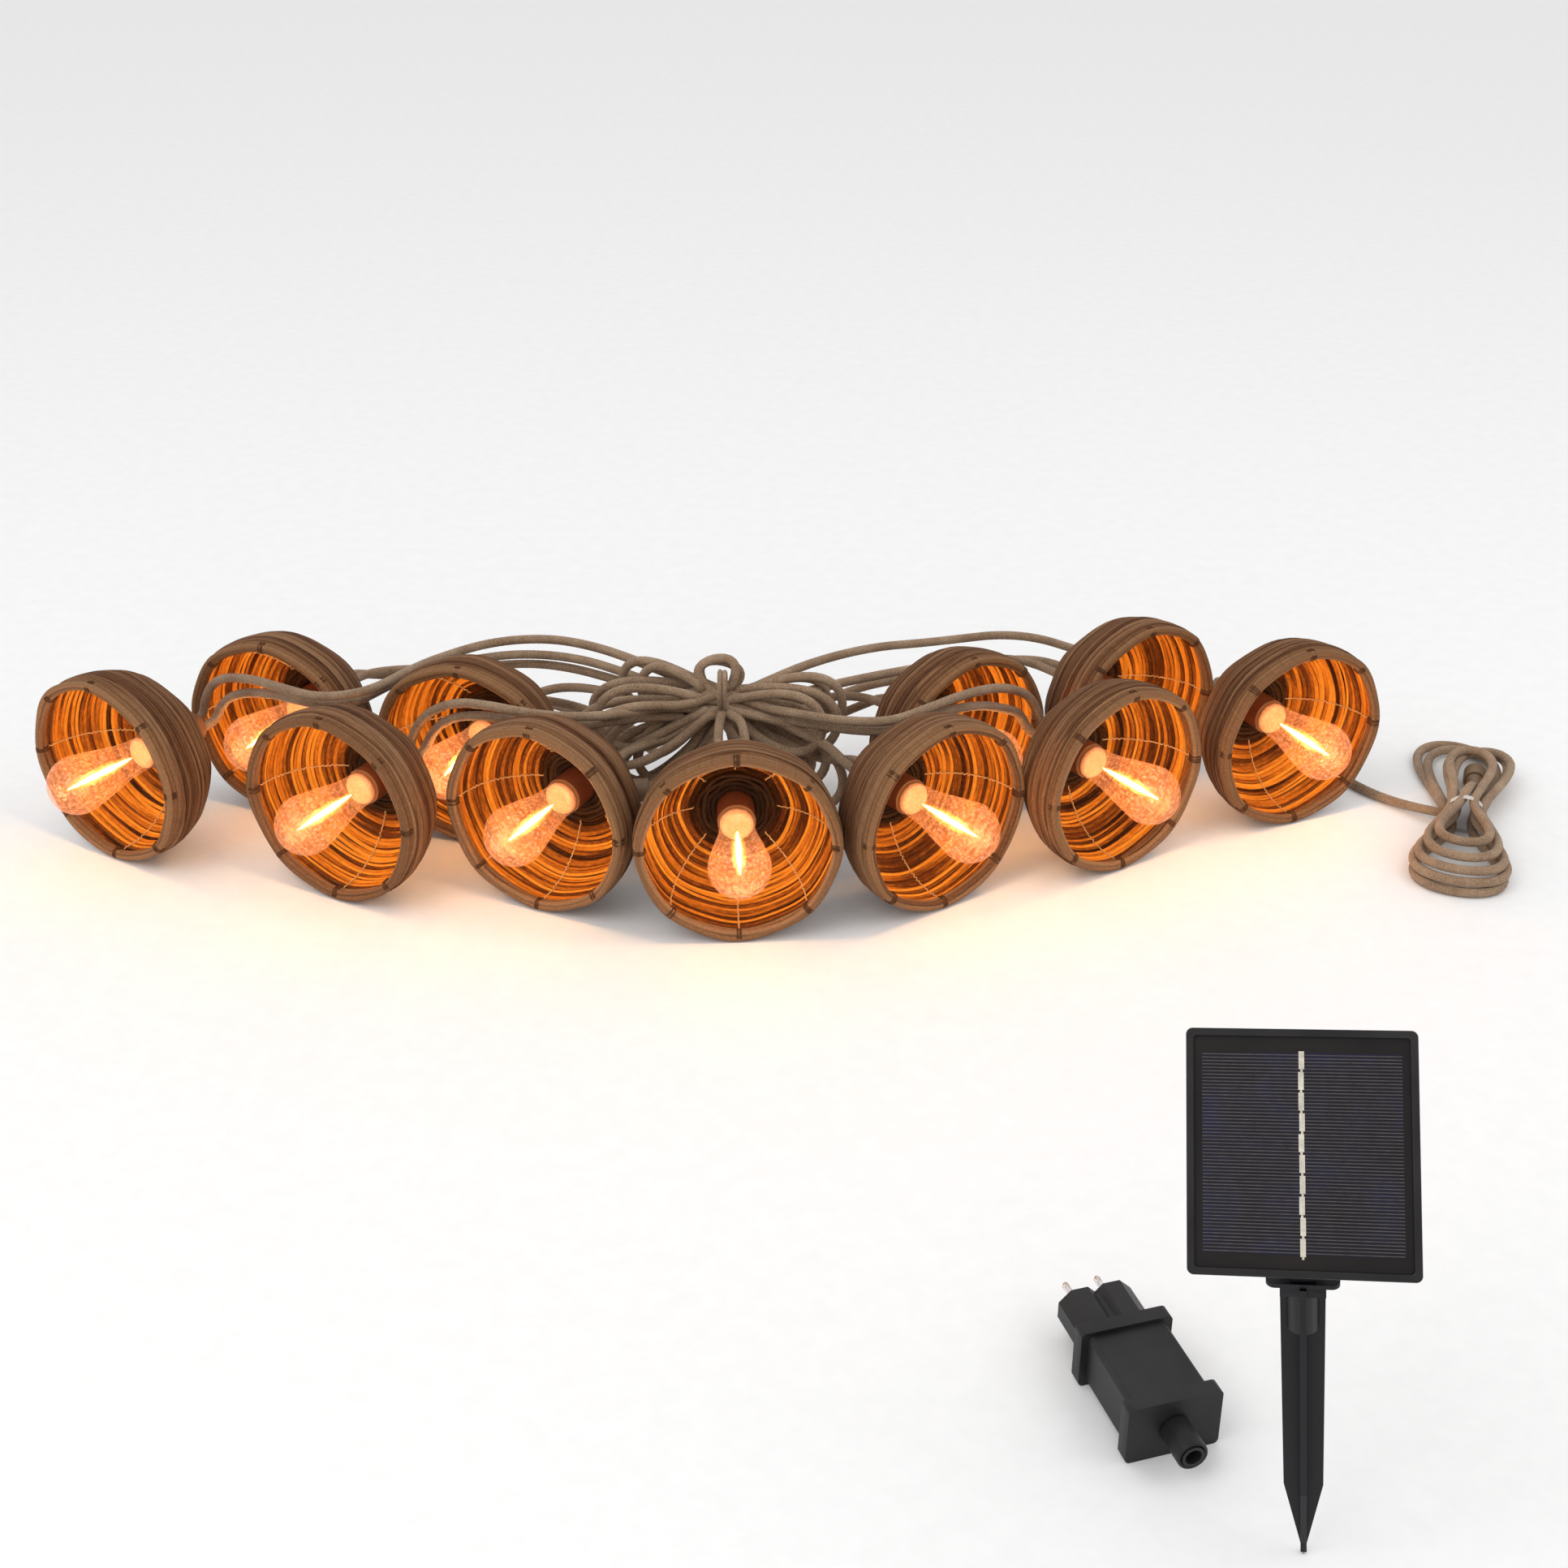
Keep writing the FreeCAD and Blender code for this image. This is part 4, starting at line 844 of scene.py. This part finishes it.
def screw_cap_outline():
    """Cap with a rounded screw thread, from its contact to the neck."""
    outline = [(0.0015, -0.0620), (0.0030, -0.0612), (0.0050, -0.0590)]
    for step in range(0, 25):
        share = step / 24
        outline.append((0.0062 + 0.0006 * math.sin(2 * math.pi * 5 * share), -0.0585 + 0.0145 * share))
    return outline + [(0.0110, -0.0436), (0.0122, -0.0424)]


def neck_disc_outline():
    """Closed peach disc with a rounded edge inside the neck."""
    return [(0.00002, -0.0385), (0.0090, -0.0387), (0.0114, -0.0393), (0.0122, -0.0405), (0.0122, -0.0418)]


def neck_finish():
    """Smooth peach inner cup; its orange colour is partly painted light, and its glow is painted light of the
    filament.
    """
    finish = Finish("neck_cup", Roughness=0.3)
    cloud = finish.noise(90, 3)
    finish.colour(finish.ramp(cloud, [(0.3, (0.80, 0.36, 0.16)), (0.7, (0.92, 0.50, 0.26))]))
    finish.painted_glow(finish.ramp(cloud, [(0.3, (0.90, 0.34, 0.13)), (0.7, (1.0, 0.46, 0.20))]), 0.35)
    return finish.material


NECK = neck_finish()


def bulb(number):
    """Bulb with its cap and filament; all turn together."""
    body = "bulb_%02d" % number
    glass = Shape()
    points, faces = lathe(glass_outline(0.0), 56)
    glass.add(points, faces, 0)
    cap, cap_faces = lathe(screw_cap_outline(), 32)
    glass.add(cap, cap_faces, 1)
    root, root_faces = lathe(neck_disc_outline(), 40)
    glass.add(root, root_faces, 2)
    made = glass.build("glass_bulb_%02d" % number, body, [GLASS, CAP_METAL, NECK],
                       LAMPS[number], ["bulb_%02d" % number])
    made.visible_shadow = False
    flame = Shape()
    for slot, (size, low, high) in enumerate([(0.0020, -0.031, 0.031), (0.0034, -0.033, 0.034),
                                              (0.0056, -0.035, 0.038)]):
        points, faces = lathe(flame_outline(size, low, high), 20)
        flame.add(points, faces, slot)
    made = flame.build("filament_%02d" % number, body, [FLAME, GLOW, HAZE], LAMPS[number])
    made.visible_shadow = False


def bulb_light(number):
    """Warm light in the middle of a bulb."""
    data = bpy.data.lights.new("bulb_light_%02d" % number, "POINT")
    data.energy = BULB_WATTS
    data.color = (1.0, 0.56, 0.22)
    data.shadow_soft_size = 0.006
    light = bpy.data.objects.new(data.name, data)
    light.location = LAMPS[number] @ Vector((0, 0, 0.004))
    bpy.context.scene.collection.objects.link(light)


for number in LAMPS:
    woven_shade(number)
    bulb(number)
    bulb_light(number)

# ---------------------------------------------------------------- solar panel face

PANEL_WIDTH = 0.101
PANEL_HEIGHT = 0.109
PLATE_EDGE = 0.0023
PLATE_FRONT = -0.0021
PLATE_BACK = -0.0042
CELL_HALF_WIDTH = 0.0435
CELL_LOW = 0.0098
CELL_HIGH = 0.0985
FINGERS = 58
FINGER_HALF_WIDTH = 0.00022
FINGER_MARGIN = 0.001
BUSBAR_PARTS = 10
BUSBAR_OVERRUN = 0.0012
BUSBAR_GAP = 0.0006


def resin_finish():
    """Black backing under clear resin, faintly clouded."""
    finish = Finish("panel_resin", Roughness=0.30, Specular_IOR_Level=0.22)
    cloud = finish.noise(28, 4, 0.6)
    finish.colour(finish.ramp(cloud, [(0.35, (0.008, 0.006, 0.006)), (0.65, (0.014, 0.010, 0.010))]))
    finish.bump(finish.noise(120, 2), 0.05, 0.0003)
    return finish.material


def cell_finish():
    """Dark blue cells, patchy."""
    finish = Finish("solar_cell", Roughness=0.30, Specular_IOR_Level=0.22)
    cloud = finish.noise(32, 4, 0.6)
    finish.colour(finish.ramp(cloud, [(0.35, (0.006, 0.005, 0.007)), (0.50, (0.010, 0.008, 0.016)),
                                      (0.68, (0.009, 0.010, 0.040))]))
    finish.bump(finish.noise(260, 2), 0.05, 0.0002)
    return finish.material


def line_finish(name, dark, light, metallic):
    """Printed conductor, uneven in tone."""
    finish = Finish(name, Metallic=metallic)
    wear = finish.noise(240, 4, 0.7)
    finish.colour(finish.ramp(wear, [(0.30, dark), (0.68, light)]))
    finish.rough(wear, 0.35, 0.6)
    return finish.material


def solar_face():
    """Plate with its cells, finger lines and segmented busbar."""
    shape = Shape()
    half = PANEL_WIDTH / 2 - PLATE_EDGE
    points, faces = box_part((-half, PLATE_EDGE, PLATE_BACK),
                             (half, PANEL_HEIGHT - PLATE_EDGE, PLATE_FRONT - 0.0003))
    shape.add(points, faces, 0)
    points, faces = box_part((-CELL_HALF_WIDTH, CELL_LOW, PLATE_BACK + 0.001),
                             (CELL_HALF_WIDTH, CELL_HIGH, PLATE_FRONT - 0.0002))
    shape.add(points, faces, 1)
    for finger in range(FINGERS):
        span = CELL_HIGH - CELL_LOW - 2 * FINGER_MARGIN
        level = CELL_LOW + FINGER_MARGIN + span * finger / (FINGERS - 1)
        points, faces = box_part((-CELL_HALF_WIDTH, level - FINGER_HALF_WIDTH, PLATE_FRONT - 0.0004),
                                 (CELL_HALF_WIDTH, level + FINGER_HALF_WIDTH, PLATE_FRONT - 0.0001))
        shape.add(points, faces, 2)
    reach = (CELL_HIGH - CELL_LOW + 0.0025) / BUSBAR_PARTS
    for part in range(BUSBAR_PARTS):
        low = CELL_LOW - BUSBAR_OVERRUN + part * reach
        shift = 0.0002 * math.sin(2.3 * part)
        points, faces = box_part((-0.0013 + shift, low + BUSBAR_GAP, PLATE_FRONT - 0.0003),
                                 (0.0011 + shift, low + reach - BUSBAR_GAP, PLATE_FRONT))
        shape.add(points, faces, 3)
        points, faces = box_part((-0.0006 + shift, low - BUSBAR_GAP, PLATE_FRONT - 0.0003),
                                 (0.0004 + shift, low + 0.0008, PLATE_FRONT - 0.0001))
        shape.add(points, faces, 3)
    materials = [resin_finish(), cell_finish(),
                 line_finish("cell_finger", (0.030, 0.026, 0.026), (0.075, 0.064, 0.058), 0.0),
                 line_finish("cell_busbar", (0.46, 0.42, 0.35), (0.72, 0.68, 0.58), 0.2)]
    shape.build("solar_face", "panel", materials, PANEL, ["solar_plate"], smooth=False)


solar_face()

# ---------------------------------------------------------------- looks of the carried-over parts


def moulded(name, dark, light, low, high, grain=380, depth=0.0004):
    """Moulded plastic with a fine grain and slight wear."""
    finish = Finish(name, Specular_IOR_Level=0.28)
    fine = finish.noise(grain, 4, 0.7)
    broad = finish.noise(24, 3, 0.55)
    finish.colour(finish.ramp(broad, [(0.32, dark), (0.68, light)]))
    finish.rough(broad, low, high)
    finish.bump(fine, 0.25, depth)
    return finish.material


def plated(name, dark, light, low, high):
    """Bare or plated metal with fine wear."""
    finish = Finish(name, Metallic=1.0)
    wear = finish.noise(200, 4, 0.65)
    finish.colour(finish.ramp(wear, [(0.30, dark), (0.70, light)]))
    finish.rough(wear, low, high)
    finish.bump(wear, 0.08, 0.0002)
    return finish.material


def woven_band():
    """Soft white band with a close weave."""
    finish = Finish("tie_band", Sheen_Weight=0.3)
    weave = finish.noise(700, 3, 0.6)
    finish.colour(finish.ramp(weave, [(0.35, (0.46, 0.43, 0.39)), (0.65, (0.72, 0.70, 0.66))]))
    finish.rough(weave, 0.75, 0.95)
    finish.bump(weave, 0.4, 0.0006)
    return finish.material


def board_finish():
    """Green lacquer over copper tracks."""
    finish = Finish("board_lacquer", Roughness=0.35)
    tracks = finish.node("TexBrick", Vector=finish.place(), Scale=160.0)
    finish.colour(finish.ramp(tracks.outputs["Fac"], [(0.2, (0.02, 0.12, 0.05)), (0.9, (0.06, 0.24, 0.10))]))
    finish.bump(tracks.outputs["Fac"], 0.2, 0.0002)
    return finish.material


def dressed(material, names, bevel=0.0):
    """Gives CAD nodes a material and, where asked, softened edges."""
    for name in names:
        part = nodes[name]
        part.data.materials.clear()
        part.data.materials.append(material)
        if bevel:
            weld = part.modifiers.new("weld", "WELD")
            weld.merge_threshold = 0.00001
            soften = part.modifiers.new("bevel", "BEVEL")
            soften.width = bevel
            soften.segments = 2
            soften.limit_method = "ANGLE"
            soften.angle_limit = math.radians(40)


dressed(moulded("panel_plastic", (0.008, 0.007, 0.008), (0.019, 0.017, 0.018), 0.28, 0.45),
        ["panel_tray", "panel_bezel", "charge_inlet"], 0.0006)
dressed(moulded("stake_plastic", (0.003, 0.003, 0.005), (0.008, 0.007, 0.010), 0.35, 0.52),
        ["ground_stake", "tilt_bracket", "tilt_knob"], 0.0006)
dressed(moulded("adapter_plastic", (0.010, 0.010, 0.011), (0.022, 0.021, 0.022), 0.38, 0.55, 900, 0.0003),
        ["adapter_case", "adapter_end_plate", "outlet_nut"], 0.0009)
dressed(moulded("connector_plastic", (0.16, 0.10, 0.06), (0.26, 0.17, 0.10), 0.4, 0.6),
        ["cord_connectors", "lead_plug_nut", "tail_cap"], 0.0005)
dressed(moulded("socket_plastic", (0.16, 0.065, 0.028), (0.26, 0.115, 0.05), 0.4, 0.6),
        ["lamp_sockets"], 0.0005)
dressed(moulded("button_rubber", (0.05, 0.05, 0.055), (0.10, 0.10, 0.11), 0.6, 0.8),
        ["power_button", "mode_button"], 0.0004)
dressed(moulded("battery_sleeve", (0.03, 0.16, 0.09), (0.05, 0.26, 0.14), 0.3, 0.45),
        ["battery_cell"], 0.0004)
dressed(moulded("transformer_tape", (0.42, 0.36, 0.10), (0.60, 0.52, 0.16), 0.4, 0.6),
        ["adapter_transformer"])
dressed(plated("bright_steel", (0.42, 0.42, 0.43), (0.62, 0.62, 0.63), 0.28, 0.45),
        ["hinge_bolt", "case_screws"], 0.0002)
dressed(plated("pin_plating", (0.66, 0.66, 0.67), (0.82, 0.82, 0.83), 0.08, 0.2), ["adapter_pins"], 0.0002)
dressed(board_finish(), ["circuit_board"])

# ---------------------------------------------------------------- ties


BUNDLE_NECK = Vector((0.008, 0.308, 0.122))
BUNDLE_NECK_RADIUS = 0.0148
BUNDLE_TURNS = 2
BUNDLE_TURN_PITCH = 0.0036
HANK_WAIST_HEIGHT = 0.0155
HANK_WAIST_RADIUS = 0.0150


def ties():
    """Rope turns round the bundle's neck and the white band round the hank's waist."""
    shape = Shape()
    for turn in range(BUNDLE_TURNS):
        along = BUNDLE_TURN_PITCH * (turn - (BUNDLE_TURNS - 1) / 2)
        loop = []
        for step in range(28):
            angle = 2 * math.pi * step / 28
            reach = BUNDLE_NECK_RADIUS + 0.0006 * math.sin(3 * angle + turn)
            loop.append(BUNDLE_NECK + Vector((along, reach * math.cos(angle), reach * math.sin(angle))))
        points, faces, marks = tube(loop, 0.0019, 8, closed=True)
        shape.add(points, faces, 0, 0.5, marks)
    band = [(HANK_WAIST_RADIUS + proud, height) for proud, height in
            ((0.0, -0.003), (0.0003, -0.003), (0.0004, 0.0), (0.0003, 0.003), (0.0, 0.003))]
    points, faces = lathe(band, 40)
    waist = HANK @ Matrix.Translation((0, 0, HANK_WAIST_HEIGHT)) @ Matrix.Rotation(math.radians(-90), 4, "X")
    shape.add([tuple(waist @ Vector(point)) for point in points], faces, 1)
    shape.build("ties", "root", [ROPE, woven_band()], None, ["cord_ties"])


ties()

# ---------------------------------------------------------------- floor, light and finish


def floor_finish():
    """Matt white paint."""
    finish = Finish("floor_paint", Roughness=0.75)
    speckle = finish.noise(60, 3)
    finish.colour(finish.ramp(speckle, [(0.3, (0.90, 0.90, 0.90)), (0.7, (0.93, 0.93, 0.93))]))
    return finish.material


FLOOR_SIDE = 8
FLOOR_FRONT = -6
FLOOR_BACK = 12
floor_mesh = bpy.data.meshes.new("floor")
floor_mesh.from_pydata([(-FLOOR_SIDE, FLOOR_FRONT, 0), (FLOOR_SIDE, FLOOR_FRONT, 0),
                        (FLOOR_SIDE, FLOOR_BACK, 0), (-FLOOR_SIDE, FLOOR_BACK, 0)], [], [(0, 1, 2, 3)])
floor_mesh.materials.append(floor_finish())
floor = bpy.data.objects.new("floor", floor_mesh)
bpy.context.scene.collection.objects.link(floor)

world = bpy.data.worlds.new("studio")
world.use_nodes = True
world.node_tree.nodes["Background"].inputs["Color"].default_value = (1, 1, 1, 1)
world.node_tree.nodes["Background"].inputs["Strength"].default_value = 0.85
bpy.context.scene.world = world
bpy.context.scene.view_settings.view_transform = "Standard"


def softbox(name, spot, target, size, energy):
    """Large area light aimed at a point."""
    data = bpy.data.lights.new(name, "AREA")
    data.size = size
    data.energy = energy
    light = bpy.data.objects.new(name, data)
    light.location = spot
    light.rotation_euler = (Vector(target) - Vector(spot)).to_track_quat("-Z", "Y").to_euler()
    bpy.context.scene.collection.objects.link(light)


softbox("key", (-1.6, -1.4, 2.6), (0, 0, 0), 2.2, 26)
softbox("fill", (2.2, -0.6, 2.0), (0, 0, 0), 2.0, 12)
